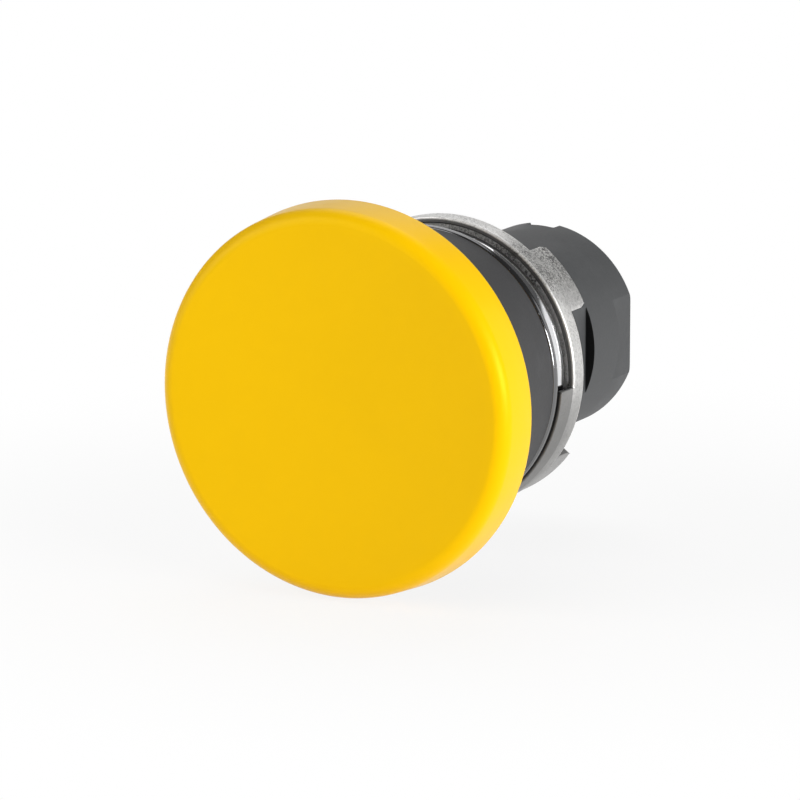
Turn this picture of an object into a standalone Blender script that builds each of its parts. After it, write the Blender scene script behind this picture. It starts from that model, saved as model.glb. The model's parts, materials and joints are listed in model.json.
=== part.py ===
"""Mushroom pushbutton head for a 22 mm panel hole, spring return.

The axis of the button is Y. The cap faces -Y, the body points to +Y, and Z is up.
The origin is the centre of the panel hole, in the plane of the panel's front face.
All lengths are in metres. Every piece of the head is a separate object.
"""
from math import asin, cos, degrees, pi, radians, sin, sqrt

import bmesh
import bpy
from mathutils import Matrix, Vector

# General fits
GAP = 0.0003            # between pieces that seat on or slide in each other
OVERLAP = 0.0005        # how far added shapes reach into what carries them
ROUND_STEPS = 48        # facets round the turned pieces that show
INNER_STEPS = 24        # facets round the pieces inside
SECTOR_STEPS = 12       # facets along a land or a foot
DISH_STEPS = 4          # facets across the cap's dish
CAP_EDGE_STEPS = 6      # facets of the cap's rounded edge
BULGE_STEPS = 4         # facets of the bezel's bulging band
CORNER_STEPS = 4        # facets of a foot's rounded corner
SMALL_ROUND_STEPS = 2   # facets of the small rounds
SHARP_ANGLE = 32.0      # degrees; edges that turn by more stay sharp

# Travel of the button
TRAVEL = 0.0045

# Rear body, 21.8 mm across for a 22.3 mm hole; what sits in and round it follows its radius
BODY_RADIUS = 0.0109
BODY_LENGTH = 0.0178    # behind the panel's front face
BODY_EDGE_BREAK = 0.0003
REAR_WALL = 0.0023      # of the tube behind the partition
FRONT_WALL = 0.0020     # of the tube in front of it
PARTITION_FRONT = 0.0025
PARTITION_WALL = 0.0020
NOSE_WALL = 0.0015
NOSE_LENGTH = 0.0037
FLANGE_STEP = 0.0002    # beyond the collar's spigot
FLANGE_WIDTH = 0.0015
NECK_FLAT_DEPTH = 0.0010
NECK_SHOULDER = 0.0078  # where the neck flats end
END_FLAT_DEPTH = 0.00086
END_FLAT_LENGTH = 0.0043
RIM_NOTCH_WIDTH = 0.0035
RIM_NOTCH_DEPTH = 0.0017
KEY_RIB_WIDTH = 0.0030
KEY_RIB_HEIGHT = 0.0013
KEY_RIB_LENGTH = 0.0022

# Plunger head
PLUNGER_RUNNING_GAP = 0.0004
PLUNGER_WALL = 0.0016
PLUNGER_TOP_WALL = 0.0015
SPIGOT_STEP = 0.0025
SCREW_HEAD_CLEARANCE = 0.0005
SPIGOT_COUNTERBORE_DEPTH = 0.0024
STEM_SOCKET_DEPTH = 0.0020
SHOULDER_BREAK = 0.0004

# Mushroom cap
CAP_RADIUS = 0.0200
CAP_WALL_HEIGHT = 0.0029
CAP_EDGE_RADIUS = 0.0021
CAP_DISH_DEPTH = 0.0008
CAP_SKIRT_WALL = 0.0016
CAP_RIM_ROUND = 0.0003
CAP_INNER_FILLET = 0.0007
CAP_HOLLOW_DEPTH = 0.0026
CAP_BOSS_LENGTH = 0.0061
CAP_BOSS_WALL = 0.0020
CAP_RIB_COUNT = 8
CAP_RIB_WIDTH = 0.0012
CAP_INNER_RIB_DEPTH = 0.0030
CAP_OUTER_RIB_DEPTH = 0.0012
CAP_RIB_CLEARANCE = 0.00065  # to the collar

# Cap clip
CLIP_THICKNESS = 0.0008
CLIP_BITE = 0.0007      # into the spigot's groove
CLIP_WIDTH = 0.0017
CLIP_OPENING = 44.0     # degrees
CLIP_SETBACK = 0.0032   # behind the cap's inner roof

# Guide collar, 28.7 mm across
COLLAR_SPIGOT_WALL = 0.0009
COLLAR_STEP = 0.00145   # from the spigot to the outside
COLLAR_WALL = 0.00165
COLLAR_LENGTH = 0.0120
COLLAR_MOAT_DEPTH = 0.0046
COLLAR_WEB = 0.0012
COLLAR_EDGE_ROUND = 0.0006

# Plated bezel ring, 30 mm across its lip
LIP_WALL = 0.0018
LIP_WIDTH = 0.00085
LIP_ROUND = 0.00025
BEZEL_WALL = 0.0009
BEZEL_BULGE = 0.00035
BEZEL_GROOVE_WIDTH = 0.00055

# Cast carrier ring, 30.6 mm across its band
LAND_WALL = 0.00065
LAND_LENGTH = 0.00255
LAND_COUNT = 2
LAND_SWEEP = 62.0       # degrees
LAND_END_ANGLE = -3.5   # degrees, where the first land ends and a window starts
BAND_STEP = 0.00005     # of the band over the lands
BAND_WIDTH = 0.0022
BAND_EDGE_BREAK = 0.0002
CARRIER_WEB = 0.0018
FOOT_STEP = 0.0001      # of the feet under the band
FOOT_WALL = 0.0015
FOOT_HEIGHT = 0.0033
FOOT_COUNT = 4
FOOT_SWEEP = 29.0       # degrees
FOOT_CENTRE_ANGLE = 39.5  # degrees
FOOT_CORNER_RADIUS = 0.0009

# Stem
STEM_SCREW_HOLE_DEPTH = 0.0072
STEM_TAIL_STEP = 0.0016
STEM_SNAP_HEIGHT = 0.0006
STEM_SNAP_LENGTH = 0.0007
STEM_KEY_WIDTH = 0.0016
STEM_KEY_DEPTH = 0.0007

# Stem screw
SCREW_HEAD_RADIUS = 0.0029
SCREW_HEAD_HEIGHT = 0.0016
SCREW_SHANK_RADIUS = 0.0015
SCREW_LENGTH = 0.0095
SCREW_STEPS = 20

# Stop ring, bumper and actuator plate
STOP_GROOVE_DEPTH = 0.0008
STOP_RING_WIDTH = 0.0029
STOP_RING_THICKNESS = 0.0008
STOP_RING_OPENING = 50.0  # degrees
BUMPER_THICKNESS = 0.0008
BUMPER_CLEARANCE = 0.0005
PLATE_CLEARANCE = 0.0007
PLATE_THICKNESS = 0.0016
PLATE_SETBACK = 0.0023  # behind the stop ring
PLATE_SLOT_COUNT = 4
PLATE_SLOT_WIDTH = 0.0030
PLATE_SLOT_DEPTH = 0.0022

# Return spring and its seats
SPRING_SPACE = 0.0023   # between the stem and the plunger's cavity
SPRING_WIRE = 0.0009
SPRING_ACTIVE_TURNS = 6.0
SPRING_END_TURNS = 1.0
SPRING_END_PITCH = 0.00108
SPRING_STEPS_PER_TURN = 12
SEAT_THICKNESS = 0.0006
CUP_THICKNESS = 0.0008

# Bush, seals, lock ring and gaskets
BUSH_WALL = 0.0011
BUSH_LENGTH = 0.0043
SEAL_LENGTH = 0.0021
SEAL_BODY_WALL = 0.0018
SEAL_LIP_GAP = 0.00025
SEAL_LIP_WALL = 0.0006
COLLAR_GASKET_THICKNESS = 0.0006
LOCK_GROOVE_DEPTH = 0.0007
LOCK_RING_WIDTH = 0.0018
LOCK_RING_THICKNESS = 0.0007
LOCK_RING_OPENING = 32.0  # degrees
GASKET_BORE_GAP = 0.0004
GASKET_CHAMFER = 0.0003

# Radii, worked out from the body outwards and inwards
WEB_BORE = BODY_RADIUS + GAP
REAR_BORE_RADIUS = BODY_RADIUS - REAR_WALL
FRONT_BORE_RADIUS = BODY_RADIUS - FRONT_WALL
PLUNGER_RADIUS = FRONT_BORE_RADIUS - PLUNGER_RUNNING_GAP
PLUNGER_CAVITY_RADIUS = PLUNGER_RADIUS - PLUNGER_WALL
SPIGOT_RADIUS = PLUNGER_RADIUS - SPIGOT_STEP
SPIGOT_COUNTERBORE_RADIUS = SCREW_HEAD_RADIUS + SCREW_HEAD_CLEARANCE
CLIP_INNER_RADIUS = SPIGOT_RADIUS - CLIP_BITE
CLIP_OUTER_RADIUS = CLIP_INNER_RADIUS + CLIP_WIDTH
BOSS_BORE = SPIGOT_RADIUS + GAP
BOSS_RADIUS = BOSS_BORE + CAP_BOSS_WALL
BUSH_BORE = PLUNGER_RADIUS + GAP
BUSH_RADIUS = BUSH_BORE + BUSH_WALL
COUNTERBORE_RADIUS = BUSH_RADIUS + GAP
NOSE_RADIUS = COUNTERBORE_RADIUS + NOSE_WALL
COLLAR_WEB_BORE = PLUNGER_RADIUS + GAP
COLLAR_REAR_BORE = NOSE_RADIUS + GAP
COLLAR_SPIGOT_RADIUS = COLLAR_REAR_BORE + COLLAR_SPIGOT_WALL
COLLAR_RADIUS = COLLAR_SPIGOT_RADIUS + COLLAR_STEP
COLLAR_BORE_RADIUS = COLLAR_RADIUS - COLLAR_WALL
LIP_BORE = COLLAR_SPIGOT_RADIUS + GAP
LIP_RADIUS = LIP_BORE + LIP_WALL
FLANGE_RADIUS = COLLAR_SPIGOT_RADIUS + FLANGE_STEP
BEZEL_BORE = FLANGE_RADIUS + GAP
BEZEL_BAND_RADIUS = BEZEL_BORE + BEZEL_WALL - BEZEL_BULGE
LAND_BORE = BEZEL_BORE + BEZEL_WALL + GAP
LAND_RADIUS = LAND_BORE + LAND_WALL
BAND_RADIUS = LAND_RADIUS + BAND_STEP
FOOT_RADIUS = BAND_RADIUS - FOOT_STEP
FOOT_BORE = FOOT_RADIUS - FOOT_WALL
LOCK_GROOVE_RADIUS = BODY_RADIUS - LOCK_GROOVE_DEPTH
LOCK_RING_INNER_RADIUS = LOCK_GROOVE_RADIUS + GAP
LOCK_RING_OUTER_RADIUS = LOCK_RING_INNER_RADIUS + LOCK_RING_WIDTH
GASKET_INNER_RADIUS = BODY_RADIUS + GASKET_BORE_GAP
GASKET_LIP_BORE = LOCK_RING_OUTER_RADIUS + GAP
GASKET_OUTER_RADIUS = FOOT_BORE - GAP
NECK_FLAT = BODY_RADIUS - NECK_FLAT_DEPTH
END_FLAT = BODY_RADIUS - END_FLAT_DEPTH
KEY_RIB_RADIUS = BODY_RADIUS + KEY_RIB_HEIGHT
CAP_FACE_RADIUS = CAP_RADIUS - CAP_EDGE_RADIUS
CAP_HOLLOW_RADIUS = CAP_RADIUS - CAP_SKIRT_WALL
STEM_RADIUS = PLUNGER_CAVITY_RADIUS - SPRING_SPACE
STEM_SCREW_HOLE_RADIUS = SCREW_SHANK_RADIUS + GAP
STEM_TAIL_RADIUS = STEM_RADIUS - STEM_TAIL_STEP
STEM_SNAP_RADIUS = STEM_TAIL_RADIUS + STEM_SNAP_HEIGHT
STOP_GROOVE_RADIUS = STEM_RADIUS - STOP_GROOVE_DEPTH
STOP_RING_INNER_RADIUS = STOP_GROOVE_RADIUS + GAP
STOP_RING_OUTER_RADIUS = STOP_RING_INNER_RADIUS + STOP_RING_WIDTH
PARTITION_BORE = STEM_RADIUS + GAP
SPRING_MEAN_RADIUS = (STEM_RADIUS + PLUNGER_CAVITY_RADIUS) / 2.0
BUMPER_RADIUS = REAR_BORE_RADIUS - BUMPER_CLEARANCE
PLATE_RADIUS = REAR_BORE_RADIUS - PLATE_CLEARANCE

# Stations along the axis, worked out from the panel's front face at 0 forwards
BAND_REAR = -FOOT_HEIGHT
BAND_FRONT = BAND_REAR - BAND_WIDTH
LAND_FRONT = BAND_FRONT - LAND_LENGTH
WEB_FRONT = BAND_REAR - CARRIER_WEB
LIP_REAR = LAND_FRONT - GAP
LIP_FRONT = LIP_REAR - LIP_WIDTH
BEZEL_REAR = WEB_FRONT - GAP
FLANGE_REAR = WEB_FRONT - GAP
FLANGE_FRONT = FLANGE_REAR - FLANGE_WIDTH
NOSE_FRONT = FLANGE_FRONT - NOSE_LENGTH
COLLAR_GASKET_REAR = FLANGE_FRONT - GAP
COLLAR_GASKET_FRONT = COLLAR_GASKET_REAR - COLLAR_GASKET_THICKNESS
COLLAR_SHOULDER = LIP_FRONT - GAP
COLLAR_REAR = COLLAR_GASKET_FRONT - GAP
COLLAR_FRONT = COLLAR_SHOULDER - COLLAR_LENGTH
COLLAR_WEB_FRONT = COLLAR_FRONT + COLLAR_MOAT_DEPTH
COLLAR_WEB_REAR = COLLAR_WEB_FRONT + COLLAR_WEB
SEAL_FRONT = COLLAR_WEB_REAR + GAP
SEAL_REAR = SEAL_FRONT + SEAL_LENGTH
RETAINER_FRONT = SEAL_REAR + GAP
RETAINER_REAR = NOSE_FRONT - GAP
BUSH_FRONT = NOSE_FRONT + GAP
BUSH_REAR = BUSH_FRONT + BUSH_LENGTH
CAP_ROOF = COLLAR_FRONT - GAP - TRAVEL
CAP_RIM = CAP_ROOF + CAP_HOLLOW_DEPTH
CAP_WALL_FRONT = CAP_RIM - CAP_WALL_HEIGHT
CAP_FACE = CAP_WALL_FRONT - CAP_EDGE_RADIUS
BOSS_REAR = CAP_ROOF + CAP_BOSS_LENGTH
CLIP_FRONT = CAP_ROOF + CLIP_SETBACK
CLIP_REAR = CLIP_FRONT + CLIP_THICKNESS
SPIGOT_FRONT = CAP_ROOF + GAP
COUNTERBORE_FLOOR = SPIGOT_FRONT + SPIGOT_COUNTERBORE_DEPTH
PLUNGER_SHOULDER = BOSS_REAR + GAP
PLUNGER_ROOF = PLUNGER_SHOULDER + PLUNGER_TOP_WALL
SOCKET_FLOOR = PLUNGER_ROOF - STEM_SOCKET_DEPTH
STEM_FRONT = SOCKET_FLOOR + GAP
LOCK_RING_FRONT = BAND_REAR + GAP
LOCK_RING_REAR = LOCK_RING_FRONT + LOCK_RING_THICKNESS
NECK_START = LOCK_RING_REAR + GAP

# Stations from the partition backwards, and the spring's ends
CUP_REAR = PARTITION_FRONT - GAP
CUP_FRONT = CUP_REAR - CUP_THICKNESS
PLUNGER_REAR = CUP_FRONT - GAP - TRAVEL
PARTITION_REAR = PARTITION_FRONT + PARTITION_WALL
BUMPER_FRONT = PARTITION_REAR + GAP
BUMPER_REAR = BUMPER_FRONT + BUMPER_THICKNESS
STOP_RING_FRONT = BUMPER_REAR + GAP
STOP_RING_REAR = STOP_RING_FRONT + STOP_RING_THICKNESS
PLATE_FRONT = STOP_RING_REAR + PLATE_SETBACK
PLATE_REAR = PLATE_FRONT + PLATE_THICKNESS
STEM_STEP = PLATE_FRONT - GAP
STEM_REAR = PLATE_REAR + GAP + STEM_SNAP_LENGTH
SEAT_FRONT = PLUNGER_ROOF + GAP
SEAT_REAR = SEAT_FRONT + SEAT_THICKNESS
SPRING_FRONT = SEAT_REAR + GAP
SPRING_REAR = CUP_FRONT - GAP

# Finishes: colour, roughness, metallic
YELLOW = ((0.87, 0.50, 0.005), 0.42, 0.0)
DARK_GREY = ((0.075, 0.075, 0.078), 0.60, 0.0)
BODY_GREY = ((0.085, 0.085, 0.088), 0.62, 0.0)
CHROME = ((0.80, 0.80, 0.81), 0.08, 1.0)
CAST_ZINC = ((0.60, 0.60, 0.60), 0.50, 1.0)
RUBBER = ((0.020, 0.020, 0.020), 0.80, 0.0)
NATURAL = ((0.78, 0.77, 0.72), 0.40, 0.0)
SPRING_STEEL = ((0.45, 0.45, 0.46), 0.30, 1.0)
ZINC_PLATE = ((0.62, 0.63, 0.65), 0.28, 1.0)


def clear_scene():
    """Remove every object that the file starts with."""
    for item in list(bpy.data.objects):
        bpy.data.objects.remove(item, do_unlink=True)


def finish_material(name, finish):
    """Return a piece's own material, with the colour and shine of its finish."""
    colour, roughness, metallic = finish
    material = bpy.data.materials.new(name)
    material.use_nodes = True
    shader = material.node_tree.nodes["Principled BSDF"]
    shader.inputs["Base Color"].default_value = (*colour, 1.0)
    shader.inputs["Roughness"].default_value = roughness
    shader.inputs["Metallic"].default_value = metallic
    material.diffuse_color = (*colour, 1.0)
    return material


def place(name, mesh, finish=None, parent=None):
    """Link a mesh as a named object; one with no finish is a hidden cutter or tool."""
    item = bpy.data.objects.new(name, mesh)
    bpy.context.scene.collection.objects.link(item)
    if finish is None:
        item.hide_render = True
        item.display_type = "WIRE"
    else:
        mesh.materials.append(finish_material(name, finish))
    if parent is not None:
        item.parent = parent
    return item


def mesh_from(name, bm):
    """Turn a bmesh into a mesh with clean outward faces and smooth shading."""
    bmesh.ops.remove_doubles(bm, verts=bm.verts, dist=1e-7)
    bmesh.ops.recalc_face_normals(bm, faces=bm.faces)
    mesh = bpy.data.meshes.new(name)
    bm.to_mesh(mesh)
    bm.free()
    mesh.shade_smooth()
    mesh.set_sharp_from_angle(angle=radians(SHARP_ANGLE))
    return mesh


def arc(centre, radius, start, end, steps):
    """Points of an arc in the profile plane; angle 0 points outwards, 90 to the rear."""
    points = []
    for i in range(steps + 1):
        angle = radians(start + (end - start) * i / steps)
        points.append((centre[0] + radius * cos(angle), centre[1] + radius * sin(angle)))
    return points


def ring_point(radius, angle, station):
    """A point at an angle round the axis; 0 degrees is +X and 90 degrees is +Z."""
    return Vector((radius * cos(angle), station, radius * sin(angle)))


def turned_mesh(name, profile, steps, start=0.0, sweep=360.0):
    """Spin a closed profile of (radius, station) points about the Y axis."""
    bm = bmesh.new()
    full = sweep >= 360.0
    verts = [bm.verts.new(ring_point(r, radians(start), y)) for r, y in profile]
    edges = []
    for i, vert in enumerate(verts):
        following = verts[(i + 1) % len(verts)]
        on_axis = profile[i][0] == 0.0 and profile[(i + 1) % len(verts)][0] == 0.0
        if not on_axis:
            edges.append(bm.edges.new((vert, following)))
    if not full:
        bm.faces.new(verts)
    turned = bmesh.ops.spin(
        bm, geom=verts + edges, cent=(0.0, 0.0, 0.0), axis=(0.0, -1.0, 0.0),
        angle=radians(sweep), steps=steps, use_merge=full, use_duplicate=False)
    if not full:
        last = [item for item in turned["geom_last"] if isinstance(item, bmesh.types.BMEdge)]
        bmesh.ops.contextual_create(bm, geom=last)
    return mesh_from(name, bm)


def box_mesh(name, low, high, turn=None):
    """A box between two corners, turned about the Y axis by an angle in degrees."""
    low, high = Vector(low), Vector(high)
    bm = bmesh.new()
    bmesh.ops.create_cube(bm, size=1.0)
    bmesh.ops.scale(bm, vec=high - low, verts=bm.verts)
    bmesh.ops.translate(bm, vec=(low + high) / 2.0, verts=bm.verts)
    if turn is not None:
        bmesh.ops.rotate(bm, cent=(0.0, 0.0, 0.0), verts=bm.verts,
                         matrix=Matrix.Rotation(radians(-turn), 3, "Y"))
    return mesh_from(name, bm)


def boolean(item, tool, operation):
    """Add a Boolean modifier that cuts or joins a hidden tool."""
    modifier = item.modifiers.new(tool.name, "BOOLEAN")
    modifier.operation = operation
    modifier.object = tool
    modifier.solver = "EXACT"


def cut(item, name, mesh):
    """Cut a shape out of a piece."""
    boolean(item, place(name, mesh, parent=item.parent), "DIFFERENCE")


def join(item, name, mesh):
    """Join a shape to a piece."""
    boolean(item, place(name, mesh, parent=item.parent), "UNION")


def smooth_after_booleans(item):
    """Keep curved walls smooth and real edges sharp once every cut is made."""
    item.data.shade_smooth()
    item.data.set_sharp_from_angle(angle=radians(SHARP_ANGLE))


def joined_meshes(name, meshes):
    """Collect several separate shapes in one tool mesh."""
    bm = bmesh.new()
    for mesh in meshes:
        bm.from_mesh(mesh)
        bpy.data.meshes.remove(mesh)
    mesh = bpy.data.meshes.new(name)
    bm.to_mesh(mesh)
    bm.free()
    return mesh


def open_ring(name, inner, outer, front, rear, opening, centre, steps, finish, parent=None):
    """A snap ring: a flat ring with an opening centred at an angle in degrees."""
    profile = [(inner, front), (inner, rear), (outer, rear), (outer, front)]
    start = centre + opening / 2.0
    mesh = turned_mesh(name, profile, steps, start=start, sweep=360.0 - opening)
    return place(name, mesh, finish, parent)


def mushroom_cap(button):
    """The yellow cap: dished face, round edge, hollow back, socket boss and ribs."""
    dish = []
    for i in range(DISH_STEPS):
        radius = CAP_FACE_RADIUS * i / DISH_STEPS
        depth = CAP_DISH_DEPTH * (1.0 - (i / DISH_STEPS) ** 2)
        dish.append((radius, CAP_FACE + depth))
    edge = arc((CAP_FACE_RADIUS, CAP_WALL_FRONT), CAP_EDGE_RADIUS, -90.0, 0.0, CAP_EDGE_STEPS)
    rim_centre = (CAP_RADIUS - CAP_RIM_ROUND, CAP_RIM - CAP_RIM_ROUND)
    rim = arc(rim_centre, CAP_RIM_ROUND, 0.0, 90.0, SMALL_ROUND_STEPS)
    fillet_centre = (CAP_HOLLOW_RADIUS - CAP_INNER_FILLET, CAP_ROOF + CAP_INNER_FILLET)
    fillet = arc(fillet_centre, CAP_INNER_FILLET, 0.0, -90.0, SMALL_ROUND_STEPS)
    groove = CLIP_OUTER_RADIUS + GAP
    boss = [
        (BOSS_RADIUS, CAP_ROOF), (BOSS_RADIUS, BOSS_REAR), (BOSS_BORE, BOSS_REAR),
        (BOSS_BORE, CLIP_REAR + GAP), (groove, CLIP_REAR + GAP),
        (groove, CLIP_FRONT - GAP), (BOSS_BORE, CLIP_FRONT - GAP),
        (BOSS_BORE, CAP_ROOF), (0.0, CAP_ROOF)]
    profile = dish + edge + rim + [(CAP_HOLLOW_RADIUS, CAP_RIM)] + fillet + boss
    cap = place("mushroom_cap", turned_mesh("mushroom_cap", profile, ROUND_STEPS), YELLOW, button)
    ribs = []
    for i in range(CAP_RIB_COUNT):
        turn = 360.0 * i / CAP_RIB_COUNT
        half = CAP_RIB_WIDTH / 2.0
        ribs.append(box_mesh(
            "rib", (BOSS_RADIUS - OVERLAP, CAP_ROOF - OVERLAP, -half),
            (COLLAR_BORE_RADIUS - CAP_RIB_CLEARANCE, CAP_ROOF + CAP_INNER_RIB_DEPTH, half), turn))
        ribs.append(box_mesh(
            "rib", (COLLAR_RADIUS + CAP_RIB_CLEARANCE, CAP_ROOF - OVERLAP, -half),
            (CAP_HOLLOW_RADIUS + OVERLAP, CAP_ROOF + CAP_OUTER_RIB_DEPTH, half), turn))
    join(cap, "cap_ribs_tool", joined_meshes("cap_ribs_tool", ribs))
    smooth_after_booleans(cap)
    return cap


def cap_clip(button):
    """Snap ring between the cap's boss and the plunger's spigot."""
    return open_ring("cap_clip", CLIP_INNER_RADIUS, CLIP_OUTER_RADIUS, CLIP_FRONT, CLIP_REAR,
                     CLIP_OPENING, 180.0, INNER_STEPS, SPRING_STEEL, button)


def plunger_head(button):
    """Piston with a spigot for the cap, a cavity for the spring and a socket for the stem."""
    groove = CLIP_INNER_RADIUS - GAP
    socket = STEM_RADIUS + GAP
    hole = STEM_SCREW_HOLE_RADIUS
    profile = [
        (hole, COUNTERBORE_FLOOR), (SPIGOT_COUNTERBORE_RADIUS, COUNTERBORE_FLOOR),
        (SPIGOT_COUNTERBORE_RADIUS, SPIGOT_FRONT), (SPIGOT_RADIUS - SHOULDER_BREAK, SPIGOT_FRONT),
        (SPIGOT_RADIUS, SPIGOT_FRONT + SHOULDER_BREAK),
        (SPIGOT_RADIUS, CLIP_FRONT - GAP), (groove, CLIP_FRONT - GAP),
        (groove, CLIP_REAR + GAP), (SPIGOT_RADIUS, CLIP_REAR + GAP),
        (SPIGOT_RADIUS, PLUNGER_SHOULDER), (PLUNGER_RADIUS - SHOULDER_BREAK, PLUNGER_SHOULDER),
        (PLUNGER_RADIUS, PLUNGER_SHOULDER + SHOULDER_BREAK),
        (PLUNGER_RADIUS, PLUNGER_REAR), (PLUNGER_CAVITY_RADIUS, PLUNGER_REAR),
        (PLUNGER_CAVITY_RADIUS, PLUNGER_ROOF), (socket, PLUNGER_ROOF),
        (socket, SOCKET_FLOOR), (hole, SOCKET_FLOOR)]
    mesh = turned_mesh("plunger_head", profile, INNER_STEPS)
    return place("plunger_head", mesh, DARK_GREY, button)


def stem_screw(button):
    """Pan-head screw along the axis, from the plunger head into the stem."""
    head_rear = COUNTERBORE_FLOOR - GAP
    head_front = head_rear - SCREW_HEAD_HEIGHT
    crown = SCREW_HEAD_HEIGHT / 2.0
    tip = head_rear + SCREW_LENGTH
    profile = [
        (0.0, head_front), (SCREW_HEAD_RADIUS - crown, head_front),
        (SCREW_HEAD_RADIUS, head_front + crown), (SCREW_HEAD_RADIUS, head_rear),
        (SCREW_SHANK_RADIUS, head_rear), (SCREW_SHANK_RADIUS, tip - SCREW_SHANK_RADIUS),
        (0.0, tip)]
    mesh = turned_mesh("stem_screw", profile, SCREW_STEPS)
    return place("stem_screw", mesh, ZINC_PLATE, button)


def stem(button):
    """Push rod with a screw hole, a stop ring groove, a snap tail and two key grooves."""
    groove = STOP_GROOVE_RADIUS
    hole_end = STEM_FRONT + STEM_SCREW_HOLE_DEPTH
    profile = [
        (0.0, hole_end), (STEM_SCREW_HOLE_RADIUS, hole_end - STEM_SCREW_HOLE_RADIUS),
        (STEM_SCREW_HOLE_RADIUS, STEM_FRONT), (STEM_RADIUS, STEM_FRONT),
        (STEM_RADIUS, STOP_RING_FRONT - GAP), (groove, STOP_RING_FRONT - GAP),
        (groove, STOP_RING_REAR + GAP), (STEM_RADIUS, STOP_RING_REAR + GAP),
        (STEM_RADIUS, STEM_STEP), (STEM_TAIL_RADIUS, STEM_STEP),
        (STEM_TAIL_RADIUS, PLATE_REAR + GAP), (STEM_SNAP_RADIUS, PLATE_REAR + GAP),
        (STEM_TAIL_RADIUS - GAP, STEM_REAR), (0.0, STEM_REAR)]
    rod = place("stem", turned_mesh("stem", profile, INNER_STEPS), NATURAL, button)
    keyways = []
    half = STEM_KEY_WIDTH / 2.0 + GAP
    for turn in (0.0, 180.0):
        keyways.append(box_mesh(
            "keyway", (STEM_RADIUS - STEM_KEY_DEPTH, PARTITION_FRONT - TRAVEL - GAP, -half),
            (STEM_RADIUS + OVERLAP, PARTITION_REAR + GAP, half), turn))
    cut(rod, "stem_keyway_tool", joined_meshes("stem_keyway_tool", keyways))
    smooth_after_booleans(rod)
    return rod


def actuator_plate(button):
    """Round plate on the stem's tail, with four slots in its edge."""
    bore = STEM_TAIL_RADIUS + GAP
    hub = STEM_RADIUS + 2.0 * GAP
    dish = PLATE_THICKNESS / 2.0
    profile = [
        (bore, PLATE_FRONT), (PLATE_RADIUS, PLATE_FRONT), (PLATE_RADIUS, PLATE_REAR),
        (PLATE_RADIUS - dish, PLATE_REAR), (PLATE_RADIUS - 2.0 * dish, PLATE_REAR - dish),
        (hub, PLATE_REAR - dish), (hub, PLATE_REAR), (bore, PLATE_REAR)]
    plate = place("actuator_plate", turned_mesh("actuator_plate", profile, INNER_STEPS),
                  NATURAL, button)
    slots = []
    half = PLATE_SLOT_WIDTH / 2.0
    for i in range(PLATE_SLOT_COUNT):
        slots.append(box_mesh(
            "slot", (PLATE_RADIUS - PLATE_SLOT_DEPTH, PLATE_FRONT - OVERLAP, -half),
            (PLATE_RADIUS + OVERLAP, PLATE_REAR + OVERLAP, half), 45.0 + 360.0 * i / PLATE_SLOT_COUNT))
    cut(plate, "plate_slot_tool", joined_meshes("plate_slot_tool", slots))
    smooth_after_booleans(plate)
    return plate


def stop_ring(button):
    """Snap ring on the stem, behind the partition."""
    return open_ring("stop_ring", STOP_RING_INNER_RADIUS, STOP_RING_OUTER_RADIUS,
                     STOP_RING_FRONT, STOP_RING_REAR, STOP_RING_OPENING, 90.0, INNER_STEPS,
                     SPRING_STEEL, button)


def flat_ring(name, inner, outer, front, rear, steps, finish, parent=None):
    """A plain washer."""
    profile = [(inner, front), (outer, front), (outer, rear), (inner, rear)]
    return place(name, turned_mesh(name, profile, steps), finish, parent)


def spring_seat(button):
    """Washer between the plunger head and the spring."""
    return flat_ring("spring_seat", STEM_RADIUS + GAP, PLUNGER_CAVITY_RADIUS - GAP,
                     SEAT_FRONT, SEAT_REAR, INNER_STEPS, ZINC_PLATE, button)


def return_spring():
    """Coil spring: one close turn at each end and open turns between."""
    wire_radius = SPRING_WIRE / 2.0
    front = SPRING_FRONT + wire_radius
    rear = SPRING_REAR - wire_radius
    end_rise = SPRING_END_TURNS * SPRING_END_PITCH
    active_rise = rear - front - 2.0 * end_rise
    turns = SPRING_ACTIVE_TURNS + 2.0 * SPRING_END_TURNS
    count = int(turns * SPRING_STEPS_PER_TURN)
    curve = bpy.data.curves.new("return_spring", "CURVE")
    curve.dimensions = "3D"
    curve.bevel_depth = wire_radius
    curve.bevel_resolution = 1
    curve.use_fill_caps = True
    spline = curve.splines.new("POLY")
    spline.points.add(count)
    for i in range(count + 1):
        turn = turns * i / count
        rise = SPRING_END_PITCH * min(turn, SPRING_END_TURNS)
        if turn > SPRING_END_TURNS:
            share = min((turn - SPRING_END_TURNS) / SPRING_ACTIVE_TURNS, 1.0)
            rise += active_rise * share
        if turn > turns - SPRING_END_TURNS:
            rise += SPRING_END_PITCH * (turn - (turns - SPRING_END_TURNS))
        point = ring_point(SPRING_MEAN_RADIUS, 2.0 * pi * turn, front + rise)
        spline.points[i].co = (*point, 1.0)
    spring = bpy.data.objects.new("return_spring", curve)
    bpy.context.scene.collection.objects.link(spring)
    curve.materials.append(finish_material("return_spring", SPRING_STEEL))
    return spring


def spring_cup():
    """Seat behind the spring, on the partition."""
    return flat_ring("spring_cup", PARTITION_BORE, FRONT_BORE_RADIUS - GAP,
                     CUP_FRONT, CUP_REAR, INNER_STEPS, NATURAL)


def bumper_washer():
    """Rubber washer behind the partition, under the stop ring."""
    return flat_ring("bumper_washer", PARTITION_BORE, BUMPER_RADIUS,
                     BUMPER_FRONT, BUMPER_REAR, INNER_STEPS, RUBBER)


def guide_bush():
    """Low-friction liner in the nose of the body."""
    return flat_ring("guide_bush", BUSH_BORE, BUSH_RADIUS,
                     BUSH_FRONT, BUSH_REAR, INNER_STEPS, NATURAL)


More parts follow.
